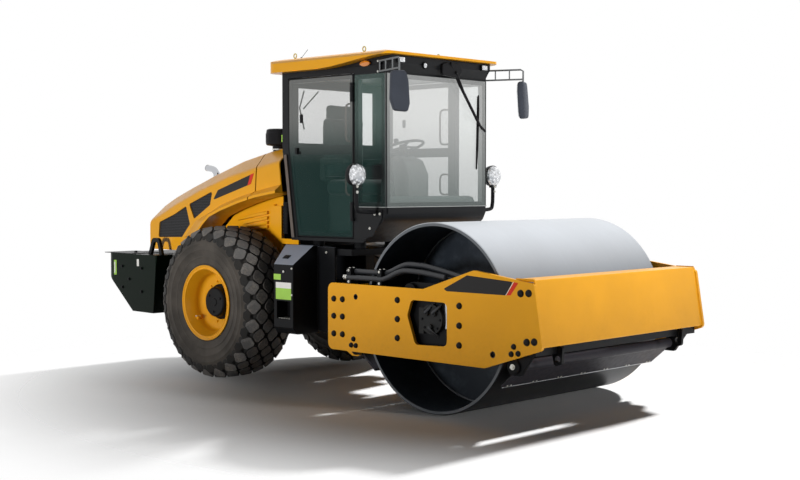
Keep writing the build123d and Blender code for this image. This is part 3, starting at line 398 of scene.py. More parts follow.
def moulded(f, tone, rough, grain=420):
    """Moulded plastic or rubber with a leathery grain."""
    cell = f.cells(grain)
    f.feed(ior=1.46, specular_ior_level=0.15, roughness=rough + 0.12 * cell,
           base_color=f.mix(f.noise(9, 3), shade(tone, 0.86), shade(tone, 1.16)))
    f.bump(cell, 0.0003, 0.4)


def seat_cloth(f):
    """Woven cover: two crossed sets of threads and a soft fuzz."""
    warp, weft = (
        f.node("TexWave", {"wave_type": "BANDS", "bands_direction": direction},
               {"Vector": f.place(), "Scale": scale, "Distortion": 1.5}, out=1)
        for direction, scale in (("DIAGONAL", 130), ("Z", 150)))
    thread = warp.math("MAXIMUM", warp, weft)
    f.feed(sheen_weight=0.35, sheen_roughness=0.4, roughness=0.8 + 0.1 * thread,
           base_color=f.mix(thread, (0.007, 0.018, 0.016), (0.024, 0.050, 0.046)))
    f.bump(thread, 0.0006, 0.6)


def glass(f, low_tone, high_tone, cover, gloss=0.4, low_haze=(0, 0, 0), high_haze=(0, 0, 0),
          change=(2.0, 2.5)):
    """Sheet glass: a thin veil of its own tone, painted paler higher up as a sheen of the sky, and a glow that is a
    painted reflection of the pale surround. Both turn with height.
    """
    high = f.height().step(*change)
    f.feed(coat_weight=gloss, coat_roughness=0.01, specular_ior_level=gloss, emission_strength=1, alpha=cover,
           base_color=f.mix(high, low_tone, high_tone), emission_color=f.mix(high, low_haze, high_haze),
           roughness=0.02 + 0.04 * f.noise(5, 3))


def lamp_glass(f):
    flute = f.cells(40, distance="CHEBYCHEV")
    f.feed(ior=1.45, coat_weight=1.0, coat_roughness=0.02, roughness=0.04 + 0.1 * flute,
           base_color=f.mix(flute.step(0.1, 0.6), (0.92, 0.93, 0.95), (0.50, 0.51, 0.53)),
           metallic=0.6 * flute.step(0.15, 0.5))
    f.bump(flute, 0.004, 0.8)


def lens(f, tone):
    """A coloured moulded lens with fine prisms behind it."""
    prism = f.cells(160, distance="MANHATTAN")
    f.feed(coat_weight=1.0, coat_roughness=0.03, roughness=0.2,
           base_color=f.mix(prism.step(0.1, 0.6), shade(tone, 1.25), shade(tone, 0.7)))
    f.bump(prism, 0.0008, 0.5)


def film(f, tone):
    """Printed film on paint."""
    f.feed(coat_weight=0.05, coat_roughness=0.1, specular_ior_level=0.2,
           base_color=f.mix(f.noise(14, 3), shade(tone, 0.92), shade(tone, 1.1)),
           roughness=0.3 + 0.1 * f.noise(60, 2))


def perforated(f):
    """Perforated sheet: holes in staggered rows, not cut through but painted near black as painted shade behind them.
    """
    hole = 1 - f.cells(62, (1, 0.02, 1), 0.0).step(0.28, 0.36)
    f.feed(metallic=0.0, specular_ior_level=0.15, roughness=0.45 + 0.4 * hole,
           base_color=f.mix(hole, (0.034, 0.034, 0.036), (0.002, 0.002, 0.002)))
    f.bump(1 - hole, 0.001, 0.7)


# A finish: its slot, its maker and the maker's values. A tone with a name is a setting's colour and a factor.
FINISHES = {
    "yellow_paint": ("yellow_paint", painted, ("paint", 1), 0.30, 0.00012, 0.1, 0.1, 0.25),
    "dark_paint": ("black_paint", painted, ("dark", 1), 0.34, 0.0002, 0.0, 0.03, 0.12),
    "cab_paint": ("black_paint", painted, ("dark", 1.2), 0.36, 0.00015, 0.0, 0.0, 0.18),
    "weight_paint": ("black_paint", painted, (0.0018, 0.0060, 0.0028), 0.30, 0.0006, 0.0, 0.02, 0.08),
    "slate_paint": ("dark_steel", painted, (0.28, 0.31, 0.37), 0.36, 0.00012, 0.1, 0.0, 0.3),
    "graphite_paint": ("dark_steel", painted, (0.032, 0.030, 0.036), 0.45, 0.00012, 0.0, 0.05, 0.12),
    "drum_steel": ("drum_steel", drum_steel, ("drum", 1)),
    "drum_inside": ("black_paint", drum_inside),
    "drum_edge": ("drum_steel", mottled, (9, 4, 0.6), (0.10, 0.11, 0.12), (0.17, 0.18, 0.195), 0.4, 0.2, 0.5),
    "bare_steel": ("steel", mottled, (60, 3, 0.6, (1, 1, 6)), (0.42, 0.43, 0.45), (0.66, 0.67, 0.68), 0.25,
                   0.2, 1, (0.0002, 0.3)),
    "zinc": ("steel", mottled, (45, 3), (0.62, 0.62, 0.60), (0.80, 0.78, 0.70), 0.28, 0.2, 0.9),
    "yellow_zinc": ("steel", mottled, (60, 3), (0.45, 0.36, 0.08), (0.66, 0.56, 0.20), 0.3, 0.2, 0.8),
    "chrome": ("chrome", mottled, (35, 3), (0.52, 0.53, 0.55), (0.52, 0.53, 0.55), 0.06, 0.08, 1),
    "mirror_face": ("steel", mottled, (4, 3), (0.88, 0.90, 0.92), (0.88, 0.90, 0.92), 0.01, 0.04, 1),
    "hose_rubber": ("rubber", mottled, (240, 2, 0.5, (1, 0.3, 1)), (0.010, 0.0105, 0.012),
                    (0.026, 0.028, 0.032), 0.33, 0.15, 0, (0.0004, 0.4)),
    "block_iron": ("dark_steel", block_iron),
    "perforated": ("dark_steel", perforated),
    "tyre_rubber": ("tyre", rubber, ("tyre", 1), ("dust", 0.35), 0.6),
    # Tread tops: the tyre's tone made 5.6 times paler, with heavy dust. This is partly wear and dust and partly
    # painted light falling from above.
    "tread_top": ("tyre", rubber, ("tyre", 5.6), ("dust", 1.8), 0.85),
    "sidewall_rubber": ("tyre", sidewall, ("dust", 0.22), ("dust", 0.46)),
    "seal_rubber": ("rubber", moulded, (0.006, 0.006, 0.0065), 0.5, 900),
    "black_plastic": ("black_plastic", moulded, (0.0085, 0.0085, 0.0095), 0.40),
    "grey_plastic": ("black_plastic", moulded, (0.175, 0.182, 0.185), 0.5),
    "mirror_plastic": ("black_plastic", moulded, (0.050, 0.056, 0.070), 0.42),
    "pale_plastic": ("black_plastic", moulded, (0.42, 0.43, 0.42), 0.45),
    "console_plastic": ("black_plastic", moulded, (0.09, 0.10, 0.097), 0.5),
    "dash_plastic": ("black_plastic", moulded, (0.030, 0.048, 0.043), 0.5),
    "rail_plastic": ("black_plastic", moulded, (0.145, 0.120, 0.105), 0.5),
    "seat_cloth": ("fabric", seat_cloth),
    # In the glass finishes the last two colours are a glow that paints the pale surround's reflection, stronger above
    # the height of change. The paler upper tone is a painted sky sheen.
    "door_glass": ("glass", glass, ("tint", 1), (0.22, 0.23, 0.22), 0.24, 0, (0.012, 0.016, 0.016),
                   (0.16, 0.16, 0.155)),
    "side_glass": ("glass", glass, ("tint", 1.2), (0.22, 0.28, 0.26), 0.18, 0.15, (0, 0, 0),
                   (0.06, 0.12, 0.10)),
    "clear_glass": ("glass", glass, (0.20, 0.26, 0.24), (0.20, 0.26, 0.24), 0.04),
    "screen_glass": ("glass", glass, (0.14, 0.16, 0.15), (0.15, 0.155, 0.15), 0.29, 0.4, (0.15, 0.18, 0.175),
                     (0.64, 0.65, 0.64), (1.5, 2.6)),
    "lamp_glass": ("clear_lamp", lamp_glass),
    "amber_lens": ("clear_lamp", lens, (0.86, 0.26, 0.012)),
    "red_lens": ("clear_lamp", lens, (0.62, 0.03, 0.012)),
    "green_lens": ("clear_lamp", lens, (0.16, 0.42, 0.07)),
    "black_film": ("yellow_paint", film, (0.013, 0.012, 0.012)),
    "red_film": ("yellow_paint", film, (0.62, 0.035, 0.018)),
    "pale_film": ("yellow_paint", film, (0.80, 0.78, 0.74)),
    "lime_film": ("yellow_paint", film, (0.36, 0.62, 0.10)),
}


def finish(name):
    """A finish's material, made when it is first asked for."""
    made = bpy.data.materials.get("fine_" + name)
    if made is None:
        _, maker, *values = FINISHES[name]
        for i, value in enumerate(values):
            if isinstance(value, tuple) and isinstance(value[0], str):
                values[i] = shade(getattr(colours(), value[0]), value[1])
        f = Finish(name)
        maker(f, *values)
        made = f.material
    return made


# --- Mesh building ---
FACING = {  # how an outline's two values and its depth become a point
    "x": lambda u, v, t: (t, u, v),
    "y": lambda u, v, t: (u, t, v),
    "z": lambda u, v, t: (u, v, t),
}
FLIP = Matrix.Scale(-1, 4, (0, 1, 0))


def rounded(points, radius, steps=4):
    """An outline with its corners rounded; radius is one size or one for each corner."""
    radii = radius if isinstance(radius, (list, tuple)) else [radius] * len(points)
    made = []
    for i, point in enumerate(points):
        here = Vector(point)
        before, after = Vector(points[i - 1]) - here, Vector(points[(i + 1) % len(points)]) - here
        if not radii[i]:
            made.append(here)
            continue
        half = before.angle(after) / 2
        run = min(radii[i] / max(0.05, abs(sin(half) / cos(half))), before.length * 0.48, after.length * 0.48)
        start, end = here + before.normalized() * run, here + after.normalized() * run
        for k in range(steps + 1):
            t = k / steps
            made.append(start.lerp(here, t).lerp(here.lerp(end, t), t))
    return [tuple(p) for p in made]


def plate(u0, u1, v0, v1, radius=0, steps=4):
    """A rectangle's outline, with rounded corners where a radius is given."""
    return rounded([(u0, v0), (u1, v0), (u1, v1), (u0, v1)], radius, steps)


def circle(count, radius, start=0, tall=None):
    """Points round a circle, or round an ellipse where it is tall."""
    turns = [tau * k / count + start for k in range(count)]
    return [(radius * cos(turn), (tall or radius) * sin(turn)) for turn in turns]


def smooth_path(points, steps=8):
    """A smooth line through the points."""
    pts = [Vector(p) for p in points]
    pts = [2 * pts[0] - pts[1], *pts, 2 * pts[-1] - pts[-2]]
    made = []
    for a, b, c, d in zip(pts, pts[1:], pts[2:], pts[3:]):
        for k in range(steps):
            t = k / steps
            made.append(0.5 * (2 * b + (c - a) * t + (2 * a - 5 * b + 4 * c - d) * t ** 2
                               + (3 * b - a - 3 * c + d) * t ** 3))
    return made + [pts[-2]]


class Form:
    """Faces gathered in millimetres, each under the number of its finish."""

    def __init__(self):
        self.mesh = bmesh.new()
        self.finish = 0
        self.move = Matrix.Identity(4)

    def face(self, corners):
        try:
            self.mesh.faces.new(corners).material_index = self.finish
        except ValueError:
            pass  # a face on these corners is already there

    def skin(self, rings, caps=True, loop=False, open_ring=False):
        """Quads from ring to ring; the rings all have the same number of points."""
        rows = [[self.mesh.verts.new(self.move @ Vector(p)) for p in ring] for ring in rings]
        for low, high in zip(rows, rows[1:] + ([rows[0]] if loop else [])):
            for i in range(len(low) - open_ring):
                j = (i + 1) % len(low)
                self.face((low[i], low[j], high[j], high[i]))
        if caps and not loop and not open_ring:
            self.face(rows[0][::-1])
            self.face(rows[-1])

    def prism(self, outline, axis, low, high):
        self.skin([[FACING[axis](u, v, t) for u, v in outline] for t in (low, high)])

    def block(self, x0, x1, y0, y1, z0, z1):
        self.prism(plate(x0, x1, z0, z1), "y", y0, y1)

    def pillow(self, outline, axis, low, high, edge):
        """A prism whose two ends are drawn in by edge, for a soft corner all round."""
        us, vs = [u for u, _ in outline], [v for _, v in outline]
        mid_u, mid_v = (max(us) + min(us)) / 2, (max(vs) + min(vs)) / 2
        wide_u, wide_v = max(us) - min(us), max(vs) - min(vs)
        rings = []
        for t, pull in ((low, 1), (low + edge * 0.3, 0.3), (low + edge, 0), (high - edge, 0),
                        (high - edge * 0.3, 0.3), (high, 1)):
            su, sv = 1 - 2 * edge * pull / wide_u, 1 - 2 * edge * pull / wide_v
            rings.append([FACING[axis](mid_u + (u - mid_u) * su, mid_v + (v - mid_v) * sv, t)
                          for u, v in outline])
        self.skin(rings)

    def lathe(self, profile, centre, axis="y", sides=48, ring=False):
        """A profile of (radius, place along the axis) turned about a line through centre. A ring's is closed."""
        centre, facing = Vector(centre), FACING[axis]
        self.skin([[centre + Vector(facing(radius * u, radius * v, along)) for radius, along in profile]
                   for u, v in circle(sides, 1)], caps=False, loop=True, open_ring=not ring)

    def tube(self, path, radius, sides=12, closed=False):
        """A round tube along a path of points."""
        path = [Vector(p) for p in path]
        rings, side = [], None
        for i, point in enumerate(path):
            ahead = path[(i + 1) % len(path)] if closed or i + 1 < len(path) else point
            behind = path[i - 1] if closed or i else point
            run = (ahead - behind).normalized()
            side = run.orthogonal() if side is None else side - run * side.dot(run)
            side.normalize()
            up = run.cross(side)
            rings.append([point + side * u + up * v for u, v in circle(sides, radius)])
        self.skin(rings, loop=closed)

    def bolt(self, at, axis, size, out=1, washer=True):
        """A hexagon head on a washer, standing out along axis."""
        x, y, z = at
        u, v, t = {"x": (y, z, x), "y": (x, z, y), "z": (x, y, z)}[axis]
        for sides, wide, low, high in ((20, 1.35, 0, 0.22), (6, 1, 0.15, 0.95), (12, 0.72, 0.9, 1.06)):
            if washer or sides < 20:
                self.prism([(u + a, v + b) for a, b in circle(sides, size * wide)], axis, t + out * size * low,
                           t + out * size * high)

    def cap(self, at, axis, radius, rise, out=1, sides=20):
        """A domed cover."""
        dome = ((1, 0), (1, 0.35), (0.92, 0.7), (0.7, 0.92), (0.35, 1), (0.2 / radius, 1))
        self.lathe([(radius * r, out * rise * t) for r, t in dome], at, axis, sides)

    def sides(self, build):
        """Builds on the right side, then its mirror image on the left."""
        for flip in (Matrix.Identity(4), FLIP):
            self.move = flip
            build(self)
        self.move = Matrix.Identity(4)


def hang(made, body, finishes, replaces=""):
    """Gives an object its finishes and hangs it on a body, in place of the named nodes."""
    bpy.context.scene.collection.objects.link(made)
    names = finishes.split()
    for name in names:
        made.data.materials.append(finish(name))
    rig.ride(made, body)
    if replaces:
        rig.replaces(made, *replaces.split())
    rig.slot(made, FINISHES[names[0]][0])
    return made


def piece(form, name, body, finishes, edge=0, corner=32, replaces="", steps=2):
    """Makes one object of a form and rounds its corners by edge millimetres."""
    bm = form.mesh
    bmesh.ops.remove_doubles(bm, verts=bm.verts, dist=0.02)
    bmesh.ops.recalc_face_normals(bm, faces=bm.faces)
    bmesh.ops.scale(bm, vec=(MM, MM, MM), verts=bm.verts)
    mesh = bpy.data.meshes.new(name)
    bm.to_mesh(mesh)
    bm.free()
    made = bpy.data.objects.new(name, mesh)
    mesh.shade_smooth()
    if edge:
        round_off = made.modifiers.new("Edges", "BEVEL")
        round_off.width, round_off.segments = edge * MM, steps
        round_off.limit_method, round_off.angle_limit = "ANGLE", radians(corner)
        made.modifiers.new("Normals", "WEIGHTED_NORMAL").keep_sharp = True
    else:
        mesh.set_sharp_from_angle(angle=radians(corner))
    return hang(made, body, finishes, replaces)


def part(name, body, finishes, both=False, **looks):
    """Turns a function that fills a form into one that makes its piece, on both sides if both is set."""
    def turned(build):
        def make():
            f = Form()
            if both:
                f.sides(build)
            else:
                build(f)
            return piece(f, name, body, finishes, **looks)
        return make
    return turned


def dressed(node, name, finishes, edge=3, corner=32, steps=2, sort=None):
    """A CAD solid's own shape as a piece, with its corners rounded; sort gives a face its finish's number."""
    source = frame["nodes"][node]
    form = Form()
    form.mesh.from_mesh(source.data)
    bmesh.ops.scale(form.mesh, vec=(1 / MM,) * 3, verts=form.mesh.verts)
    bmesh.ops.remove_doubles(form.mesh, verts=form.mesh.verts, dist=0.05)
    bmesh.ops.dissolve_limit(form.mesh, angle_limit=radians(0.6), verts=form.mesh.verts, edges=form.mesh.edges)
    for each in form.mesh.faces:
        each.material_index = sort(each.calc_center_median(), each.normal) if sort else 0
    return piece(form, name, source["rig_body"], finishes, edge, corner, node, steps)


def aim(at, toward):
    """The move that stands a form built along +Z at a point, facing toward."""
    turn = Vector((0, 0, 1)).rotation_difference(Vector(toward)).to_matrix().to_4x4()
    return Matrix.Translation(at) @ turn


def wires(name, body, lines, radius, replaces=""):
    """Hoses: smooth round lines through their route's points."""
    curve = bpy.data.curves.new(name, "CURVE")
    curve.dimensions = "3D"
    curve.bevel_depth, curve.bevel_resolution, curve.use_fill_caps = radius * MM, 5, True
    for points in lines:
        line = curve.splines.new("NURBS")
        line.points.add(len(points) - 1)
        for knot, point in zip(line.points, points):
            knot.co = (*(Vector(point) * MM), 1)
        line.order_u, line.use_endpoint_u, line.resolution_u = 3, True, 10
    return hang(bpy.data.objects.new(name, curve), body, "hose_rubber", replaces)


# --- Drum and its frame ---
@part("rolling_drum", "drum", "drum_steel drum_inside drum_edge", replaces="drum_shell")
def rolling_drum(f):
    half, inner, head = DRUM_HALF, DRUM_R - 28, DRUM_HALF - 570
    centre, around = (DRUM_X, 0, DRUM_R), 192
    f.lathe([(DRUM_R - 6, -half), (DRUM_R, -half + 6), (DRUM_R, half - 6), (DRUM_R - 6, half)], centre,
            sides=around)
    for side in (-1, 1):
        f.finish = 2
        f.lathe([(DRUM_R - 6, side * half), (inner, side * half)], centre, sides=around)
        f.finish = 1
        f.lathe([(inner, side * half), (inner, side * head), (190, side * head), (190, side * (head + 45)),
                 (110, side * (head + 45)), (110, side * (head - 25))], centre, sides=around)
        f.finish = 2
        weld = [(inner - 9 + u, side * (head + 7) + v) for u, v in circle(8, 9)]
        f.lathe(weld, centre, sides=around, ring=True)
        for u, v in circle(16, 152):
            f.bolt((DRUM_X + u, side * (head + 45), DRUM_R + v), "y", 13, side)


class ROLLER_OT_drum(Operator):
    """Make the steel drum with its edge rings, head plates and their bolts"""
    bl_idname = "roller.drum"
    bl_label = "Drum"

    def execute(self, context):
        rolling_drum()
        return {"FINISHED"}


@part("frame_seams", "drum_frame", "yellow_paint", both=True)
def frame_seams(f):
    top, low, front = reach("front_beam", 1, 2), reach("front_beam", 0, 2), reach("side_plate_right", 1, 0)
    f.tube([(front - 92, PLATE_IN, top - 4), (front - 11, PLATE_IN, low + 6)], 6, 8)
    f.tube([(front - 266, PLATE_IN, top + 1), (front - 96, PLATE_IN, top + 1)], 6, 8)


class ROLLER_OT_drum_frame(Operator):
    """Make the yellow frame round the drum, the black tie bar under it and its weld seams"""
    bl_idname = "roller.drum_frame"
    bl_label = "Drum frame"

    def execute(self, context):
        edge = sizes().edge / MM
        for side in ("right", "left"):
            dressed("side_plate_" + side, "frame_plate_" + side, "yellow_paint", edge)
        dressed("front_beam", "frame_front", "yellow_paint", 7, steps=3)
        dressed("rear_beam", "frame_rear", "yellow_paint", edge)
        dressed("cross_member", "tie_bar", "dark_paint", edge)
        frame_seams()
        return {"FINISHED"}


CAPS = [  # the side plate's bolt caps: x from the drum's middle, height, radius
    (-1070, 881, 24), (-1070, 734, 24), (-1070, 583, 24), (-964, 881, 24), (-964, 734, 24), (-964, 583, 24),
    (-319, 913, 24), (-319, 757, 24), (-319, 602, 24), (348, 906, 24), (348, 751, 24), (348, 596, 24),
    (955, 1037, 26), (1031, 1042, 26), (1015, 674, 26), (1085, 682, 26),
    (-831, 553, 20), (-858, 500, 20), (-803, 500, 20), (891, 631, 20), (868, 573, 20), (934, 582, 20),
]
PLATE_HOLES = [(-807, 136, 24), (685, -222, 26)]  # x and z from the drum's middle, and radius


@part("plate_caps", "drum_frame", "black_plastic", both=True)
def plate_caps(f):
    for x, z, radius in CAPS:
        at = (DRUM_X + x, PLATE_OUT, z)
        f.lathe([(radius + 3, 0), (radius + 3, -2.5), (radius, -4)], at, sides=24)
        f.cap(at, "y", radius, 19, -1, 24)


@part("plate_bushes", "drum_frame", "graphite_paint", both=True)
def plate_bushes(f):
    for x, z, radius in PLATE_HOLES:
        f.lathe([(radius - 0.4, 0.5), (radius - 5, 0.5), (radius - 5, 27), (radius - 0.4, 27)],
                (DRUM_X + x, PLATE_OUT, DRUM_R + z), sides=28, ring=True)
    x, z, _ = PLATE_HOLES[0]
    f.lathe([(12, 2), (12, 26), (0.3, 26)], (DRUM_X + x, PLATE_OUT, DRUM_R + z), sides=16)


@part("plate_stripes", "drum_frame", "black_film red_film pale_film", both=True)
def plate_stripes(f):
    for number, outline in enumerate((
            [(180, 1030), (426, 1149), (880, 1120), (808, 1015), (219, 1014)],
            [(892, 1119), (932, 1114), (858, 1017), (818, 1016)],
            [(883, 1120), (889, 1120), (815, 1016), (809, 1015)])):
        f.finish = number
        f.prism(rounded([(DRUM_X + x, z) for x, z in outline], 1 if number else 10, 3), "y", PLATE_OUT - 1.2,
                PLATE_OUT)


class ROLLER_OT_plate_trim(Operator):
    """Make the side plates' bolt caps, the bushes in their holes and their dark striped panels"""
    bl_idname = "roller.plate_trim"
    bl_label = "Plate caps and stripes"

    def execute(self, context):
        plate_caps()
        plate_bushes()
        plate_stripes()
        return {"FINISHED"}


@part("motor_fittings", "drum_frame", "bare_steel zinc black_plastic", both=True)
def motor_fittings(f):
    for z in (DRUM_R + 105, DRUM_R - 10):
        at = (DRUM_X + 150, PLATE_IN + 62, z)
        f.finish = 0
        f.lathe([(0.2, -65), (26, -65), (30, -59), (30, 59), (26, 65), (0.2, 65)], at, "z", 28)
        f.finish = 1
        f.lathe([(14, 65), (14, 91), (10, 95), (0.2, 95)], at, "z", 16)
    # The ring of bolts takes the black finish instead of zinc. This is painted shade that keeps the dim space behind
    # the plate dark.
    f.finish = 2
    for u, v in circle(8, 96):
        f.bolt((DRUM_X + 20 + u, PLATE_IN + 2, DRUM_R + v), "y", 9, -1)


class ROLLER_OT_drum_drive(Operator):
    """Make what shows through the side plates' windows: carriers, rubber mounts, motor and its fittings"""
    bl_idname = "roller.drum_drive"
    bl_label = "Drum drive"

    def execute(self, context):
        dressed("drum_carriers", "carrier_plates", "dark_paint", 3)
        dressed("rubber_mounts", "mount_rubbers", "seal_rubber", 6)
        dressed("drive_motors", "motor_housings", "block_iron", 4)
        motor_fittings()
        lines = []
        for side in (1, -1):
            for x, z, end in ((-20, 50, 170), (60, 50, 150), (20, -60, -150)):
                at = lambda along, inward, up: (DRUM_X + x + along, side * (PLATE_IN + inward), DRUM_R + up)
                lines.append([at(0, -18, z), at(0, -26, z * 1.1), at(30, -8, z * 1.7), at(60, 60, end)])
        wires("motor_hoses", "drum_frame", lines, 13)
        return {"FINISHED"}


def scraper(name, sign):
    """One scraper: its blade, the bolts and the bright edge along it, and its end bushes."""
    dressed(name, name + "_blade", "graphite_paint", 2)
    width, f = reach(name, 1, 1), Form()
    for k in range(7):
        for pair in (-22, 22):
            y = -width + 90 + k * (width - 90) / 3 + pair
            f.move = aim((DRUM_X + sign * 701, y, 298), (sign * 0.65, 0, -0.76))
            f.bolt((0, 0, 0), "z", 7)
    f.move = Matrix.Identity(4)
    f.finish = 1
    f.tube([(DRUM_X + sign * 689, -width + 20, 287), (DRUM_X + sign * 689, width - 20, 287)], 3, 8)
    piece(f, name + "_bolts", "drum_frame", "zinc bare_steel")

    @part(name + "_bushes", "drum_frame", "seal_rubber zinc", both=True)
    def bushes(f):
        x, y, z = DRUM_X + sign * 850, PLATE_IN + 30, 470
        f.finish = 0
        f.lathe([(18, 0), (52, 0), (58, -5), (58, -18), (50, -24), (18, -24)], (x, y, z), sides=32, ring=True)
        f.finish = 1
        f.bolt((x, y - 22, z), "y", 17, -1)

    bushes()


class ROLLER_OT_scrapers(Operator):
    """Make the front and rear scrapers with their bolts and end bushes"""
    bl_idname = "roller.scrapers"
    bl_label = "Scrapers"

    def execute(self, context):
        scraper("front_scraper", 1)
        scraper("rear_scraper", -1)
        return {"FINISHED"}


# A hose's lane: its y and z along the plate, and its front end's x and z; x is from the drum's middle.
HOSE_LANES = [(-1139, 1072, 190, 1120), (-1095, 1072, 300, 1086), (-1095, 1122, 330, 1128)]
HOSE_BACK, CLAMPS_AT = -940, (-890, -530)  # from the drum's middle


@part("hose_fittings", "drum_frame", "zinc black_plastic")
def hose_fittings(f):
    for y, z, _, _ in HOSE_LANES:
        at = (DRUM_X + HOSE_BACK + 2, y, z)
        f.lathe([(19, 0), (22, 3), (22, 21), (19, 24)], at, "x", 20, ring=True)
        f.bolt(at, "x", 21, -1, washer=False)
    for x in CLAMPS_AT:
        for y in (PLATE_OUT + 14, PLATE_OUT + 60):
            f.bolt((DRUM_X + x, y, reach("hose_clamps", 1, 2) - 2), "z", 8)
        for z in (1036, 1132):
            f.bolt((DRUM_X + x, PLATE_OUT + 1, z), "y", 8, -1)
    f.finish = 1
    for x, z in ((-330, 1191), (-120, 1204)):
        f.lathe([(19, 0), (21, 1), (21, 11), (19, 12)], (DRUM_X + x, HOSE_LANES[2][0], z), "x", 20, ring=True)


class ROLLER_OT_hoses(Operator):
    """Make the hydraulic hoses along the right side plate, their clamps and end fittings"""
    bl_idname = "roller.hoses"
    bl_label = "Drum hoses"

    def execute(self, context):
        lines = []
        for y, z, end_x, end_z in HOSE_LANES:
            route = [(HOSE_BACK, z), (-860, z), (-560, z), (-480, z), (-290, z + 85), (-160, z + 82),
                     (-30, z + 77), (end_x, end_z)]
            lines.append([(DRUM_X + x, y, height) for x, height in route])
        wires("hydraulic_hoses", "drum_frame", lines, 22, "drum_hoses")
        hose_fittings()
        dressed("hose_clamps", "clamp_blocks", "dark_paint", 3)
        return {"FINISHED"}


class ROLLER_OT_hitch(Operator):
    """Make the hitch casting, its pins and the two steering cylinders"""
    bl_idname = "roller.hitch"
    bl_label = "Hitch and steering"

    def execute(self, context):
        dressed("hitch_yoke", "hitch_casting", "dark_paint", 4)
        dressed("steer_pin", "hitch_pin", "bare_steel", 2)
        for side in ("right", "left"):
            dressed("steer_barrel_" + side, "cylinder_barrel_" + side, "dark_paint", 2)
            dressed("steer_rod_" + side, "cylinder_rod_" + side, "chrome", 1.5)
        f, pin = Form(), middle("steer_pin")
        for u, v in circle(3, 45):
            f.bolt((pin.x + u, v, reach("steer_pin", 1, 2)), "z", 9)
        piece(f, "hitch_pin_bolts", "rear_frame", "zinc")
        return {"FINISHED"}


# --- Wheels ---
CROWN = [(0, 730), (113, 730), (198, 718), (258, 685), (288, 625), (293, 530)]  # off a tyre's middle, and radius
RIM_OUT = 267.5  # a rim's outer face from the tyre's middle
DISC, HUB_FACE = RIM_OUT - 205, RIM_OUT - 110


def crown(v):
    for (v0, r0), (v1, r1) in zip(CROWN, CROWN[1:]):
        if abs(v) <= v1:
            return r0 + (r1 - r0) * (abs(v) - v0) / (v1 - v0)
    return CROWN[-1][1]


def tread(f, centre, depth):
    """Diamond blocks in staggered rows, and a chunky lug on each shoulder."""
    around, rows, step = 24, 7, 80
    pitch = tau / around
    x, y, z = centre
    block = [(0.90, 0.20), (0.20, 0.90), (-0.20, 0.90), (-0.90, 0.20), (-0.90, -0.20), (-0.20, -0.90),
             (0.20, -0.90), (0.90, -0.20)]
    for row in range(rows):
        for k in range(around):
            turn = pitch * (k + 0.5 * (row % 2))
            rings = []
            for drop, grow in ((depth + 10, 0.94), (depth * 0.45, 0.84), (4, 0.79), (0, 0.72)):
                ring = []
                for u, v in block:
                    across = max(-280, min(280, (row - rows // 2) * step + v * step * grow))
                    a = turn + u * pitch * 0.5 * grow
                    r = crown(across) - drop
                    ring.append((x + r * cos(a), y + across, z + r * sin(a)))
                rings.append(ring)
            f.finish = 0
            f.skin(rings[:3], caps=False)
            # The blocks' tops take a paler finish, partly wear and dust and partly a painted top light.
            f.finish = 2
            f.skin(rings[2:])
    f.finish = 0
    lug = [(-0.34, 668), (0.34, 668), (0.40, 634), (0.20, 590), (-0.20, 590), (-0.40, 634)]
    for side in (-1, 1):
        for k in range(around):
            rings = []
            for rise, grow in ((-26, 1.0), (2, 0.90), (7, 0.74)):
                ring = []
                for u, r in lug:
                    wide = 282 if r < 600 else 276 if r < 640 else 258
                    a = pitch * (k + 0.5) + u * pitch * grow
                    r = 630 + (r - 630) * (grow + 0.08)
                    ring.append((x + r * cos(a), y + side * (wide + rise), z + r * sin(a)))
                rings.append(ring)
            f.skin(rings)


def tyre(f, centre):
    wall = [(337, 246), (362, 250), (366, 255), (371, 255), (376, 261), (430, 270), (435, 274), (441, 274),
            (446, 271), (500, 284), (505, 288), (511, 288), (516, 285), (560, 286), (566, 289), (572, 286),
            (610, 276), (640, 258)]
    depth = sizes().lug_depth / MM
    base = [wall[-1], *((crown(v) - depth, v) for v in (240, 212, 180, 110, 50))]
    f.finish = 1
    f.lathe([(r, -v) for r, v in wall], centre, sides=120)
    f.lathe(wall, centre, sides=120)
    f.finish = 0
    f.lathe([(r, -v) for r, v in base] + base[::-1], centre, sides=120)
    tread(f, centre, depth)


def dished_rim(f, centre, sign):
    out, disc = RIM_OUT, DISC
    lip = [(360, out - 3), (357, out), (350, out), (346, out - 4), (343, out - 4), (338, out - 9),
           (330, out - 9), (325, out - 4), (321, out - 4), (317, out - 10), (313, out - 32)]
    dish = [(283, out - 75), (279, disc + 78), (276, disc + 60), (268, disc + 42), (250, disc + 30),
            (231, disc + 25), (170, disc)]
    back = [(170, disc - 20), (321, disc - 20), (321, -out), (360, -out), (360, -out + 19), (335, -out + 24),
            (335, out - 24), (352, out - 19), (360, out - 14)]
    f.lathe([(r, sign * v) for r, v in lip + dish + back], centre, sides=96, ring=True)


def planet_hub(f, centre, sign):
    disc, face = DISC, HUB_FACE
    x, y, z = centre
    hub = [(60, disc - 235), (220, disc - 235), (220, disc - 20), (170, disc - 20), (170, disc + 20),
           (150, disc + 28), (142, face - 50), (142, face - 14), (136, face - 5), (128, face), (40, face),
           (36, face + 6), (0.3, face + 6)]
    f.lathe([(r, sign * v) for r, v in hub], centre, sides=64)
    f.finish = 1
    for u, v in circle(3, 96, 0.4):
        f.cap((x + u, y + sign * face, z + v), "y", 13, 9, sign)
    f.finish = 2
    for u, v in circle(12, 200, tau / 24):
        f.bolt((x + u, y + sign * (disc + 12), z + v), "y", 11, sign)


def tyre_valve(f, centre, sign):
    turn = 3.75
    outward, along = Vector((cos(turn), 0, sin(turn))), Vector((0, sign, 0))
    at = Vector(centre) + along * (DISC + 95) + outward * 284
    bend = at - outward * 34
    f.tube([at, at - outward * 26, bend + along * 14, bend + along * 60], 7, 12)
    f.finish = 1
    f.move = Matrix.Translation(at) @ Matrix.Rotation(-turn, 4, "Y")
    f.pillow(plate(-20, 12, -34, 34, 12), "z", -24, 24, 5)
    f.move = Matrix.Identity(4)


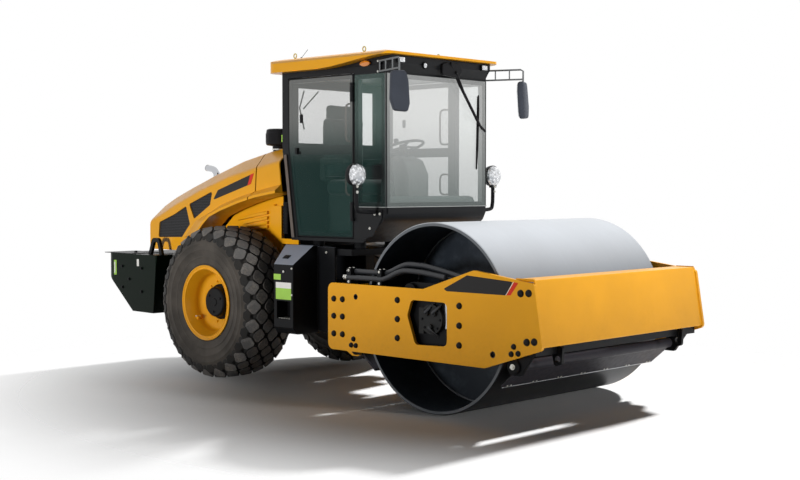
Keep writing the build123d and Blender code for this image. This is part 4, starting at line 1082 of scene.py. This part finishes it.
class ROLLER_OT_wheels(Operator):
    """Make the tyres with their tread blocks, the dished rims, the hubs and the valves"""
    bl_idname = "roller.wheels"
    bl_label = "Wheels"

    def execute(self, context):
        for side, sign in (("right", -1), ("left", 1)):
            centre, body = (AXLE_X, sign * abs(TYRE_Y), AXLE_Z), "wheel_" + side
            f = Form()
            tyre(f, centre)
            piece(f, "tyre_tread_" + side, body, "tyre_rubber sidewall_rubber tread_top", corner=38,
                  replaces="tyre_" + side)
            f = Form()
            dished_rim(f, centre, sign)
            piece(f, "dished_rim_" + side, body, "yellow_paint", corner=40, replaces="rim_" + side)
            f = Form()
            planet_hub(f, centre, sign)
            piece(f, "planet_hub_" + side, body, "dark_paint black_plastic yellow_paint",
                  replaces="wheel_hub_" + side)
            f = Form()
            tyre_valve(f, centre, sign)
            piece(f, "tyre_valve_" + side, body, "zinc yellow_paint")
        return {"FINISHED"}


# --- Rear frame ---
LOCKER_X, LOCKER_SIDE = AXLE_X + 882, reach("step_boxes", 0, 1)


@part("locker_latches", "rear_frame", "black_plastic", both=True, edge=1.5)
def locker_latches(f):
    f.move = f.move @ aim((LOCKER_X + 76, LOCKER_SIDE + 92, 1196), (0, -0.555, 0.832))
    f.prism(plate(-40, 40, -26, 26, 8), "z", -1, 4)
    f.prism(plate(-24, 24, -12, 12, 6), "z", 4, 13)


@part("locker_fastenings", "rear_frame", "zinc lime_film pale_film", both=True)
def locker_fastenings(f):
    x, side = LOCKER_X, LOCKER_SIDE
    f.finish = 0
    for k in range(5):
        slot = x + 62 + k * 34
        f.prism(plate(slot - 9, slot + 9, side + 6, side + 120, 8), "z", 641, 645)
    f.cap((x + 133, side, 1068), "y", 12, 7, -1)
    for z in (860, 1100):
        f.bolt((x + 245, side, z), "y", 7, -1)
    f.bolt((x + 381, side + 300, 1240), "y", 9, -1)
    f.finish = 1
    f.prism(plate(x + 28, x + 236, 815, 917), "y", side - 1.2, side)
    f.prism(plate(x, x + 96, 992, 1044), "y", side - 1.2, side)
    f.finish = 2
    f.prism(plate(x + 28, x + 236, 917, 970), "y", side - 1.2, side)


@part("counterweight_trim", "rear_frame", "dark_paint lime_film pale_film", both=True)
def counterweight_trim(f):
    back, side = BUMPER_BACK, reach("rear_bumper", 0, 1)
    f.finish = 0
    f.prism(plate(back - 8, back + 470, side - 8, -560), "z", DECK_Z + 0.5, DECK_Z + 7)
    for x, z in ((300, 1010), (420, 880), (300, 790), (640, 1000), (640, 760)):
        f.bolt((back + x, side, z), "y", 14, -1)
    f.bolt((back + 330, side + 150, DECK_Z + 7), "z", 16)
    f.finish = 1
    f.prism(plate(back + 150, back + 196, 915, 1070, 4, 2), "y", side - 2, side)
    f.finish = 2
    f.prism(plate(back + 156, back + 174, 935, 1050), "y", side - 3, side - 1)
    f.prism(plate(back + 560, back + 596, 1020, 1092), "y", side - 2, side)


class ROLLER_OT_rear_frame(Operator):
    """Make the rear chassis, axle, counterweight, lockers, deck and engine"""
    bl_idname = "roller.rear_frame"
    bl_label = "Rear frame"

    def execute(self, context):
        edge = sizes().edge / MM
        dressed("rear_chassis", "chassis_plates", "dark_paint", edge)
        dressed("rear_axle", "axle_casting", "dark_paint", 5)
        dressed("rear_bumper", "counterweight", "weight_paint dark_paint", 6, steps=3,
                sort=lambda at, normal: int(at.z > DECK_Z - 1))
        dressed("cab_platform", "deck_frame", "dark_paint", edge)
        dressed("step_boxes", "side_lockers", "dark_paint slate_paint", 5,
                sort=lambda at, normal: int(normal.z > 0.3 and at.z > 1140))
        dressed("engine_block", "engine", "block_iron", 12)
        dressed("radiator", "cooler_pack", "perforated", 6)
        dressed("engine_firewall", "firewall_plate", "dark_paint", 2)
        locker_latches()
        locker_fastenings()
        counterweight_trim()
        return {"FINISHED"}


# --- Hood ---
PANEL_RIBS = [(1590, 450), (1538, 365), (1493, 305), (1451, 220)]  # a rib's height at its front, and length


@part("panel_ribs", "rear_frame", "yellow_paint", both=True)
def panel_ribs(f):
    for z, run in PANEL_RIBS:
        x, drop = AXLE_X + 238, run * 0.165
        rib = [(x, z - 15), (x, z + 15), (x - run, z + 15 - drop), (x - run, z - 15 - drop)]
        f.pillow(rounded(rib, 6), "y", -526, -508, 7)


@part("hood_stripes", "hood", "black_film red_film", both=True)
def hood_stripes(f):
    for number, shape, radius, high, low in (
            (0, [(-273, 1805), (277, 1969), (231, 1864), (-352, 1706)], 12, 1.5, 0),
            (1, [(225, 1954), (277, 1969), (231, 1864), (180, 1848)], 5, 2.4, 1.4)):
        f.finish = number
        f.prism(rounded([(AXLE_X + x, z) for x, z in shape], radius, 3), "y", HOOD_SIDE - high, HOOD_SIDE - low)


@part("tail_reflectors", "hood", "red_lens green_lens", both=True)
def tail_reflectors(f):
    for number, low, high in ((0, 1386, 1452), (1, 1306, 1378)):
        f.finish = number
        f.pillow(plate(HOOD_SIDE + 8, HOOD_SIDE + 62, low, high, 12), "x", HOOD_BACK - 12, HOOD_BACK + 3, 5)


@part("engine_bay_fittings", "rear_frame", "yellow_paint black_plastic pale_plastic", both=True)
def engine_bay_fittings(f):
    f.finish = 0
    for x, y, z in ((345, -525, 1660), (350, -525, 1330), (-300, -500, 1240)):
        f.bolt((AXLE_X + x, y, z), "y", 9, -1)
    f.finish = 1
    for z in range(1404, 1661, 32):
        f.prism(plate(AXLE_X + 462, AXLE_X + 515, z, z + 18), "y", -516, -508)
    f.prism(plate(AXLE_X + 458, AXLE_X + 519, 1386, 1692), "y", -508, -500)
    f.finish = 2
    tank = (AXLE_X - 960, -585, 1410)
    f.lathe([(0.3, -150), (78, -150), (84, -142), (84, 142), (78, 150), (0.3, 150)], tank, "z", 32)
    f.finish = 1
    f.lathe([(88, -40), (88, -22), (85, -22), (85, -40)], tank, "z", 32, ring=True)
    f.tube(smooth_path([(AXLE_X - 870, -570, 1330), (AXLE_X - 780, -590, 1400), (AXLE_X - 820, -560, 1560),
                        (AXLE_X - 700, -560, 1600)], 6), 22, 14)


@part("hood_pull", "hood", "black_plastic")
def hood_pull(f):
    for y in (-90, 90):
        f.block(HOOD_BACK - 16, HOOD_BACK + 2, y - 8, y + 8, 1440, 1452)
    bar = [(-2, -90), (-30, -90), (-34, -70), (-34, 70), (-30, 90), (-2, 90)]
    f.tube([(HOOD_BACK + x, y, 1446) for x, y in bar], 8, 12)


class ROLLER_OT_hood(Operator):
    """Make the hood, its fixed cowl, screens, side panels, stripes and tail reflectors"""
    bl_idname = "roller.hood"
    bl_label = "Hood"

    def execute(self, context):
        dressed("hood_shell", "engine_hood", "yellow_paint", 4, corner=24, steps=3)
        dressed("hood_cowl", "hood_rear_cowl", "yellow_paint", 4, corner=24, steps=3)
        dressed("hood_grilles", "hood_screens", "perforated", 1)
        dressed("side_panels", "engine_side_panels", "yellow_paint", 5, steps=3)
        panel_ribs()
        hood_stripes()
        tail_reflectors()
        engine_bay_fittings()
        hood_pull()
        return {"FINISHED"}


@part("exhaust_stub", "hood", "chrome drum_inside", replaces="exhaust_tip")
def exhaust_stub(f):
    x, y = reach("exhaust_tip", 1, 0) - 34, middle("exhaust_tip").y
    path = smooth_path([(x, y, 1700), (x, y, 1940), (x - 12, y, 1985), (x - 55, y, 2018), (x - 148, y, 2034)],
                       7)
    end = path[-1]
    f.tube(path, 33, 32)
    f.tube([end, end + Vector((-5, 0, 1))], 34.5, 32)
    # A near-black disc on the pipe's end stands for its open bore: soot, and painted shade inside it.
    f.finish = 1
    f.tube([end + Vector((-5.4, 0, 1)), end + Vector((-5.6, 0, 1))], 31, 32)


@part("precleaner_bowl", "rear_frame", "black_plastic zinc lime_film", replaces="air_precleaner")
def precleaner_bowl(f):
    x, y, _ = middle("air_precleaner")
    top = reach("air_precleaner", 1, 2)
    bowl = [(54, -400), (54, -192), (60, -188), (60, -168), (112, -160), (122, -152), (125, -140), (125, -44),
            (121, -38), (121, -30), (116, -8), (96, 0), (20, 0), (0.3, 0)]
    f.lathe(bowl, (x, y, top), "z", 56)
    for k in range(28):
        f.move = Matrix.Translation((x, y, top - 92)) @ Matrix.Rotation(tau * k / 28, 4, "Z")
        f.block(122, 125.8, -5, 5, -40, 40)
    f.move = Matrix.Identity(4)
    f.finish = 1
    f.lathe([(61, 0), (64, 2), (64, 12), (61, 14)], (x, y, top - 206), "z", 40, ring=True)
    f.finish = 2
    f.prism(plate(y - 60, y - 8, top - 130, top - 62), "x", x + 60, x + 127)


class ROLLER_OT_hood_stacks(Operator):
    """Make the chromed exhaust stub and the ribbed air pre-cleaner"""
    bl_idname = "roller.hood_stacks"
    bl_label = "Exhaust and pre-cleaner"

    def execute(self, context):
        exhaust_stub()
        precleaner_bowl()
        return {"FINISHED"}


# --- Cab ---
@part("side_rail_covers", "rear_frame", "rail_plastic", both=True)
def side_rail_covers(f):
    rail = rounded([(-421, 2135), (-385, 2140), (-274, 1367), (-310, 1362)], 10)
    f.pillow(rail, "y", CAB_SIDE - 14, CAB_SIDE - 1, 4)


@part("cab_side_skirts", "rear_frame", "cab_paint zinc", both=True, edge=1.5)
def cab_side_skirts(f):
    f.finish = 0
    outline = [(-270, 1372), (-150, 1400), (-36, 1560), (-36, 1640), (-380, 1640), (-380, 1372)]
    f.prism([(CAB_FRONT + x, z) for x, z in outline], "y", CAB_SIDE - 9, CAB_SIDE + 1)
    f.finish = 1
    for x, z in ((-184, 1470), (-60, 1600)):
        f.bolt((CAB_FRONT + x, CAB_SIDE - 9, z), "y", 9, -1)


@part("screen_trim", "rear_frame", "cab_paint pale_plastic", edge=1)
def screen_trim(f):
    f.block(CAB_FRONT - 2, CAB_FRONT + 12, CAB_SIDE + 22, -CAB_SIDE - 22, 1600, 1656)
    f.finish = 1
    for x0, x1, y0, y1 in ((0, 13, CAB_SIDE + 8, -CAB_SIDE - 8), (-375, 2, CAB_SIDE - 12, CAB_SIDE - 1),
                           (-375, 2, -CAB_SIDE + 1, -CAB_SIDE + 12)):
        f.block(CAB_FRONT + x0, CAB_FRONT + x1, y0, y1, 1655, 1660.5)


class ROLLER_OT_cab_shell(Operator):
    """Make the cab's welded frame, its rails' covers, its lower skirts and the strip under the windscreen"""
    bl_idname = "roller.cab_shell"
    bl_label = "Cab frame"

    def execute(self, context):
        dressed("cab_frame", "cab_weldment", "cab_paint", 5, steps=3)
        side_rail_covers()
        cab_side_skirts()
        screen_trim()
        return {"FINISHED"}


def seal_edges(f):
    f.block(CAB_FRONT - 7, CAB_FRONT + 1, CAB_SIDE - 0.5, CAB_SIDE + 6, 1662, 2824)
    f.block(507, 519, CAB_SIDE - 3, CAB_SIDE + 2, 1376, 2838)


@part("glass_seals", "rear_frame", "seal_rubber")
def glass_seals(f):
    f.sides(seal_edges)
    f.block(-441, -437, -100, 100, 2790, 2800)
    for path in ([(-409, 2749), (-467, 2586), (-409, 2386)], [(-224, 2751), (-417, 2580)]):
        f.tube([(-446, y, z) for y, z in path], 7, 8)


class ROLLER_OT_cab_glazing(Operator):
    """Make the cab's fixed glass and the rubber round it"""
    bl_idname = "roller.cab_glazing"
    bl_label = "Cab glazing"

    def execute(self, context):
        dressed("cab_glass", "cab_panes", "side_glass screen_glass clear_glass", 1.5,
                sort=lambda at, normal: 1 if at.x > CAB_FRONT - 7 and abs(normal.x) > 0.7 else 2 * (at.x < 0))
        glass_seals()
        return {"FINISHED"}


def door_line(inset, bend, foot, radius):
    """A door's outline drawn in by inset. Its back edge leans below the bend's height, to the foot's place."""
    back, front, low, high = -362 + inset, 503 - inset, 1375 + inset, 2840 - inset
    return rounded([(back, high), (back, bend), (foot, low), (front, low), (front, high)], radius)


def door_fittings(f):
    """The seal round a door, its latch, handle and hinges, and the two grab rails behind it."""
    y = CAB_SIDE
    outer, inner = door_line(0, 2195, -237, 24), door_line(12, 2197, -226, 16)
    f.skin([[(u, t, v) for u, v in line] for line, t in ((outer, y + 3), (outer, y - 4), (inner, y - 4),
                                                         (inner, y + 3))], caps=False, loop=True)
    f.finish = 1
    f.pillow(plate(-190, -158, 2425, 2505, 9), "y", y - 20, y - 1, 4)
    f.pillow(plate(-250, -190, 2136, 2166, 12), "y", y - 12, y - 3, 3)
    for hinge in (1560, 2620):
        for z in range(hinge, hinge + 112, 28):
            f.pillow(plate(484, 522, z, z + 24, 5), "y", y - 13, y - 1, 3)
    f.finish = 2
    for low, high in ((2247, 2577), (1764, 1955)):
        f.tube(smooth_path([(470, y + 46, high), (392, y + 44, high), (362, y + 44, high - 32),
                            (358, y + 44, (low + high) / 2), (362, y + 44, low + 32), (392, y + 44, low),
                            (470, y + 46, low)], 5), 9, 12)


class ROLLER_OT_doors(Operator):
    """Make the two glazed doors with their seals, latches, hinges and grab rails"""
    bl_idname = "roller.doors"
    bl_label = "Doors"

    def execute(self, context):
        for side, flip in (("right", Matrix.Identity(4)), ("left", FLIP)):
            body = "door_" + side
            dressed(body, "door_frame_" + side, "cab_paint", 4)
            dressed("door_glass_" + side, "door_pane_" + side, "clear_glass", 1)
            f = Form()
            f.move = flip
            f.prism(door_line(10, 2196, -228, 18), "y", CAB_SIDE - 3.5, CAB_SIDE - 0.5)
            piece(f, "door_skin_" + side, body, "door_glass")
            f = Form()
            f.move = flip
            door_fittings(f)
            piece(f, "door_fittings_" + side, body, "seal_rubber black_plastic rail_plastic", edge=1)
        return {"FINISHED"}


ROOF_Z, AERIAL = 3044, (-381, -500)


@part("roof_lifting_eyes", "rear_frame", "yellow_zinc")
def roof_lifting_eyes(f):
    for x, y in ((-469, -500), (-469, 500), (457, -499), (457, 499)):
        f.tube([(x + u, y, ROOF_Z + 32 + v) for u, v in circle(20, 19, tall=21)], 5.5, 10, closed=True)
        f.lathe([(0.3, -8), (14, -8), (14, 4), (8, 12), (0.3, 12)], (x, y, ROOF_Z), "z", 20)


@part("aerial", "rear_frame", "black_plastic")
def aerial(f):
    x, y = AERIAL
    f.lathe([(12, -6), (12, 6), (6, 14), (0.3, 14)], (x, y, ROOF_Z), "z", 16)
    f.tube([(x, y, ROOF_Z + 8), (x + 89, y, ROOF_Z + 80)], 2.2, 8)


class ROLLER_OT_roof(Operator):
    """Make the roof cap with its lifting eyes and aerial, and the dark visor under it"""
    bl_idname = "roller.roof"
    bl_label = "Roof"

    def execute(self, context):
        dressed("cab_roof", "roof_cap", "yellow_paint", 16, corner=20, steps=4)
        dressed("roof_header", "roof_visor", "cab_paint", 6)
        roof_lifting_eyes()
        aerial()
        return {"FINISHED"}


def visor_side(f):
    """One side's square lamp in its dark frame, and the amber marker."""
    x = reach("roof_lamps", 1, 0)
    f.finish = 1
    f.pillow(plate(-602, -518, 2915, 2969, 8), "x", x - 32, x - 6, 3)
    f.finish = 0
    f.pillow(plate(-596, -524, 2921, 2963, 6), "x", x - 8, x, 3)
    f.finish = 2
    marker = [(653 + u, 2920 + v) for u, v in circle(24, 62, tall=26)]
    f.pillow(marker, "y", CAB_SIDE - 14, CAB_SIDE + 12, 6)


@part("visor_lamps", "rear_frame", "lamp_glass black_plastic amber_lens", replaces="roof_lamps")
def visor_lamps(f):
    f.sides(visor_side)
    lamp = (reach("roof_header", 1, 0), -244, 2912)
    f.finish = 1
    f.lathe([(30, -4), (34, -2), (34, 14), (28, 18), (24, 14)], lamp, "x", 28, ring=True)
    f.finish = 0
    f.lathe([(25, 8), (20, 14), (0.3, 17)], lamp, "x", 24)


WORK_LAMP = (785, -922, 1940)


def lamp_head(f):
    f.finish = 0
    f.lathe([(0.3, 66), (32, 63), (66, 50), (90, 28), (99, 2)], WORK_LAMP, "x", 12)
    f.finish = 1
    f.lathe([(97, 8), (102, 4), (102, -14), (96, -40), (64, -74), (0.3, -80)], WORK_LAMP, "x", 32)


def lamp_mount(f):
    x, y, z = WORK_LAMP
    f.finish = 2
    yoke = rounded([(y - 34, z - 112), (y + 34, z - 112), (y + 40, z - 66), (y - 40, z - 66)], 8)
    f.prism(yoke, "x", x - 16, x + 16)
    f.tube(smooth_path([(x, y, z - 100), (x, y, z - 190), (x - 2, y + 4, 1668), (x - 4, y + 34, 1624),
                        (x - 4, CAB_SIDE - 40, 1615), (x - 4, CAB_SIDE + 2, 1615)], 6), 18, 14)
    f.block(x - 30, x + 22, CAB_SIDE - 14, CAB_SIDE - 1, 1575, 1650)
    f.finish = 3
    for height in (z - 100, z - 150):
        f.bolt((x + 16, y - 8, height), "x", 10)
    f.bolt((x - 4, CAB_SIDE - 14, 1596), "y", 9, -1)


@part("work_lamp_heads", "rear_frame", "lamp_glass dark_paint black_plastic zinc", replaces="work_lamps",
      corner=18)
def work_lamp_heads(f):
    f.sides(lamp_head)
    f.sides(lamp_mount)


class ROLLER_OT_lamps(Operator):
    """Make the visor's lamps and markers and the two work lamps on their brackets"""
    bl_idname = "roller.lamps"
    bl_label = "Lamps"

    def execute(self, context):
        visor_lamps()
        work_lamp_heads()
        return {"FINISHED"}


MIRROR = Vector((1216, -840, 2644))


@part("mirror_heads", "rear_frame", "mirror_plastic mirror_face", both=True, replaces="mirrors")
def mirror_heads(f):
    turn = Matrix.Rotation(radians(-20), 4, "Z") @ Matrix.Rotation(radians(-4), 4, "Y")
    f.move = f.move @ Matrix.Translation(MIRROR) @ turn
    f.finish = 0
    shape = rounded([(-74, 172), (60, 176), (84, 90), (90, -110), (70, -176), (-58, -168), (-90, -70)],
                    [30, 40, 60, 60, 30, 34, 70], 6)
    f.pillow(shape, "x", -31, 31, 20)
    f.finish = 1
    f.pillow([(u * 0.86, v * 0.9) for u, v in shape], "x", -34, -28, 2)


@part("mirror_arms", "rear_frame", "grey_plastic black_plastic zinc", both=True)
def mirror_arms(f):
    """Two level rails with three rungs between them, on a bolted plate."""
    x, top, low = CAB_FRONT - 75, CAB_TOP + 30, CAB_TOP - 60
    root, tip = Vector((x, CAB_SIDE - 10)), MIRROR.xy
    f.finish = 0
    f.tube([(*root, top), (*root.lerp(tip, 0.94), top), (*tip, top - 14), (*tip, MIRROR.z + 150)], 8.5, 12)
    f.tube([(*root, low), (*tip, low)], 8, 12)
    for share in (0.06, 0.35, 0.68):
        at = root.lerp(tip, share)
        f.tube([(*at, low), (*at, top)], 6, 10)
    f.finish = 1
    f.block(x - 16, x + 16, CAB_SIDE - 16, CAB_SIDE - 1, low - 14, top + 10)
    f.finish = 2
    for height in (low, top):
        f.bolt((x, CAB_SIDE - 16, height), "y", 7, -1)


class ROLLER_OT_mirrors(Operator):
    """Make the mirror heads on their ladder arms"""
    bl_idname = "roller.mirrors"
    bl_label = "Mirrors"

    def execute(self, context):
        mirror_heads()
        mirror_arms()
        return {"FINISHED"}


@part("windscreen_wiper", "rear_frame", "black_plastic seal_rubber", edge=0.8)
def windscreen_wiper(f):
    x, face = CAB_FRONT + 24, reach("roof_header", 1, 0)
    f.pillow(rounded([(-30, 2842), (190, 2822), (246, 2890), (220, 2958), (40, 2962), (-30, 2940)], 22), "x",
             face - 8, face + 26, 10)
    for (y0, z0), (y1, z1) in (((79, 2950), (540, 2410)), ((153, 2874), (578, 2376))):
        f.tube([(face + 26, y0, z0), (x + 30, (y0 * 2 + y1) / 3, (z0 * 2 + z1) / 3), (x + 12, y1, z1)], 10, 10)
    f.tube([(x + 12, 530, 2420), (x + 12, 629, 2356)], 11, 10)
    for y, z in ((79, 2950), (153, 2874)):
        f.lathe([(14, 0), (14, 14), (9, 20), (0.3, 20)], (face + 24, y, z), "x", 16)
    f.finish = 1
    f.tube([(x - 2, 544, 2691), (x + 4, 540, 2560), (x + 4, 528, 2200), (x - 2, 516, 2000)], 7, 8)
    f.prism([(520, 2010), (532, 2010), (550, 2680), (538, 2680)], "x", x - 16, x - 4)


class ROLLER_OT_wipers(Operator):
    """Make the windscreen wiper with its twin arms and motor cover"""
    bl_idname = "roller.wipers"
    bl_label = "Wipers"

    def execute(self, context):
        windscreen_wiper()
        return {"FINISHED"}


PADS = [  # x, z and y from low to high of a cushion, and how far its cover may swell
    ("seat_cushion", (-232, 262, 1772, 1888), (-348, 128), 16),
    ("seat_back", (-250, -150, 1915, 2496), (-372, 118), 18),
    ("seat_headrest", (-286, -200, 2462, 2612), (-292, 56), 12),
]


@part("seat_frame", "rear_frame", "dash_plastic", edge=3, replaces="driver_seat")
def seat_frame(f):
    base = rounded([(-255, 1345), (240, 1345), (180, 1600), (225, 1768), (-235, 1768)], 30)
    f.pillow(base, "y", -300, 80, 20)
    f.pillow(plate(-292, -240, 1880, 2440, 24), "y", -320, 100, 20)
    for y in (-170, -50):
        f.tube([(-258, y, 2400), (-258, y, 2520)], 7, 12)
    for y in (-372, 152):
        f.pillow(rounded([(-240, 2040), (80, 2050), (80, 2100), (-240, 2110)], 22), "y", y - 34, y + 34, 14)
        f.block(-250, -200, y - 14, y + 14, 1900, 2060)


@part("wheel_knob", "rear_frame", "black_plastic")
def wheel_knob(f):
    f.lathe([(0.3, 0), (16, 0), (19, 20), (24, 34), (20, 52), (0.3, 58)], (520, -150, 2224), "z", 20)


@part("dashboard", "rear_frame", "dash_plastic")
def dashboard(f):
    outline = [(-130, 1600), (-62, 1600), (-56, 1700), (-75, 1740), (-140, 1760)]
    f.pillow(rounded([(CAB_FRONT + x, z) for x, z in outline], 24), "y", -590, 590, 16)


class ROLLER_OT_driver_place(Operator):
    """Make the driver's seat with its cushions, the console, the steering wheel and the dashboard"""
    bl_idname = "roller.driver_place"
    bl_label = "Driver's place"

    def pad(self, name, outline, across, swell):
        """A cushion: a rounded block blown up as cloth."""
        f = Form()
        f.pillow(plate(*outline, 38, 5), "y", *across, 26)
        made = piece(f, name, "rear_frame", "seat_cloth")
        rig.padded(made, fill=0.7)
        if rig.quick():
            return
        context = bpy.context
        context.view_layer.objects.active = made
        remesh = made.modifiers.new("Remesh", "REMESH")
        remesh.mode, remesh.voxel_size, remesh.use_smooth_shade = "VOXEL", 0.009, True
        bpy.ops.object.modifier_apply(modifier=remesh.name)
        flat = [v.co.copy() for v in made.data.vertices]
        cloth = made.modifiers.new("Cloth", "CLOTH")
        cloth.settings.use_pressure, cloth.settings.uniform_pressure_force = True, 4
        cloth.settings.effector_weights.gravity = 0
        cloth.settings.quality = 4
        for step in range(1, 21):
            context.scene.frame_set(step)
        blown = made.evaluated_get(context.evaluated_depsgraph_get()).data
        for vertex, before, after in zip(made.data.vertices, flat, [v.co.copy() for v in blown.vertices]):
            move = after - before
            most = swell * MM
            vertex.co = before + move * (min(1, most / move.length) if move.length else 1)
        made.modifiers.remove(cloth)
        context.scene.frame_set(1)
        smooth = made.modifiers.new("Smooth", "SUBSURF")
        smooth.levels = smooth.render_levels = 1

    def execute(self, context):
        for values in PADS:
            self.pad(*values)
        seat_frame()
        dressed("steering_console", "console_column", "console_plastic", 40, steps=5)
        dressed("steering_wheel", "wheel_rim", "black_plastic", 2)
        wheel_knob()
        dashboard()
        return {"FINISHED"}


# --- Stage ---
LAMPS = {  # a lamp: its kind, place, the point it looks at, its power and settings
    "sun": ("SUN", (-1.0, 6.3, 4.0), (0, 0, 0), 6.8, {"angle": radians(4)}),
    "front_light": ("SPOT", (12, 1, 3.5), (3, 0.5, 6.25), 4150,
                    {"spot_size": radians(70), "spot_blend": 0.06, "shadow_soft_size": 0.8}),
    "side_light": ("SPOT", (-1, -13, 1.3), (-0.6, -1, 13.0), 4800,
                   {"spot_size": radians(100), "spot_blend": 0.04, "shadow_soft_size": 1.0}),
}


class ROLLER_OT_stage(Operator):
    """Make the pale floor, the soft lights, the white surround and the camera"""
    bl_idname = "roller.stage"
    bl_label = "Stage"

    def floor(self):
        """A matt disc that fades to nothing away from the machine."""
        bpy.ops.mesh.primitive_circle_add(vertices=96, radius=sizes().floor, fill_type="NGON")
        floor = bpy.context.object
        floor.name = "studio_floor"
        f = Finish("floor_paint")
        f.feed(roughness=0.9, specular_ior_level=0.1,
               base_color=f.mix(f.noise(3, 4), (0.86, 0.86, 0.86), (0.90, 0.90, 0.90)))
        off = f.node("VectorMath", {"operation": "SUBTRACT"}, {0: f.place((0.77, 1, 0)), 1: (1.08, 0, 0)})
        away = f.node("VectorMath", {"operation": "LENGTH"}, {0: off}, out=1)
        paint, clear = Value(f, f.shader.outputs[0]), f.node("BsdfTransparent")
        blend = f.node("MixShader", {}, {0: away.step(1.6, 4.7), 1: paint, 2: clear})
        f.put(f.tree.nodes["Material Output"].inputs[0], blend)
        floor.data.materials.append(f.material)
        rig.stage(floor)

    def surround(self, scene):
        """White to the camera, in mirrors and through glass, and a dim sky to everything else."""
        world = bpy.data.worlds.new("studio")
        scene.world = world
        world.use_nodes = True
        sky = Nodes(world.node_tree)
        dim = sky.node("Background", {}, {0: (0.94, 0.97, 1.0), 1: 0.045})
        white = sky.node("Background", {}, {0: (1, 1, 1)})
        camera, through, mirrored = (sky.node("LightPath", out="Is %s Ray" % kind)
                                     for kind in ("Camera", "Transmission", "Glossy"))
        seen = camera.math("ADD", camera, through, clamp=True)
        seen = seen.math("ADD", seen, mirrored, clamp=True)
        blend = sky.node("MixShader", {}, {0: seen, 1: dim, 2: white})
        sky.put(sky.tree.nodes["World Output"].inputs[0], blend)

    def lamps(self, scene):
        for name, (kind, at, target, power, settings) in LAMPS.items():
            light = bpy.data.lights.new(name, kind)
            light.energy = power
            for key, value in settings.items():
                setattr(light, key, value)
            lamp = bpy.data.objects.new(name, light)
            scene.collection.objects.link(lamp)
            lamp.visible_glossy = False
            lamp.location = at
            lamp.rotation_euler = (Vector(at) - Vector(target)).to_track_quat("Z", "Y").to_euler()

    def execute(self, context):
        scene = context.scene
        self.floor()
        self.surround(scene)
        self.lamps(scene)
        view = bpy.data.cameras.new("view")
        view.lens, view.sensor_width, view.clip_end = 58.98, 36, 200
        camera = bpy.data.objects.new("view", view)
        camera.location = (8.856, -8.868, 1.829)
        camera.rotation_euler = (radians(90 - 2.289), 0, radians(43.547))
        scene.collection.objects.link(camera)
        scene.camera = camera
        scene.view_settings.view_transform = "Standard"
        return {"FINISHED"}


ORDER = [
    ROLLER_OT_stage, ROLLER_OT_drum, ROLLER_OT_drum_frame, ROLLER_OT_plate_trim, ROLLER_OT_drum_drive,
    ROLLER_OT_scrapers, ROLLER_OT_hoses, ROLLER_OT_hitch, ROLLER_OT_wheels, ROLLER_OT_rear_frame,
    ROLLER_OT_hood, ROLLER_OT_hood_stacks, ROLLER_OT_cab_shell, ROLLER_OT_cab_glazing, ROLLER_OT_doors,
    ROLLER_OT_roof, ROLLER_OT_lamps, ROLLER_OT_mirrors, ROLLER_OT_wipers, ROLLER_OT_driver_place,
]


class ROLLER_PT_pieces(Panel):
    """Lists the roller's settings and the operators that make its pieces"""
    bl_idname = "ROLLER_PT_pieces"
    bl_label = "Road roller"
    bl_space_type = "VIEW_3D"
    bl_region_type = "UI"
    bl_category = "Roller"

    def draw(self, context):
        for group in (colours(), sizes()):
            for name in group.bl_rna.properties.keys():
                if name not in ("rna_type", "name"):
                    self.layout.prop(group, name)
        for each in ORDER:
            self.layout.operator(each.bl_idname)


CLASSES = [RollerColours, RollerSizes, *ORDER, ROLLER_PT_pieces]


def register():
    for each in CLASSES:
        bpy.utils.register_class(each)
    bpy.types.Scene.roller_colours = bpy.props.PointerProperty(type=RollerColours)
    bpy.types.Scene.roller_sizes = bpy.props.PointerProperty(type=RollerSizes)


def unregister():
    del bpy.types.Scene.roller_sizes
    del bpy.types.Scene.roller_colours
    for each in reversed(CLASSES):
        bpy.utils.unregister_class(each)


def plain(box):
    return [[float(x) for x in corner] for corner in box]


def main():
    register()
    for each in ORDER:
        group, name = each.bl_idname.split(".")
        getattr(getattr(bpy.ops, group), name)()
    with open("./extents.json", "w") as file:
        json.dump({"cad": plain(cad_box), "visual": plain(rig.bounds())}, file)


if __name__ == "__main__":
    main()
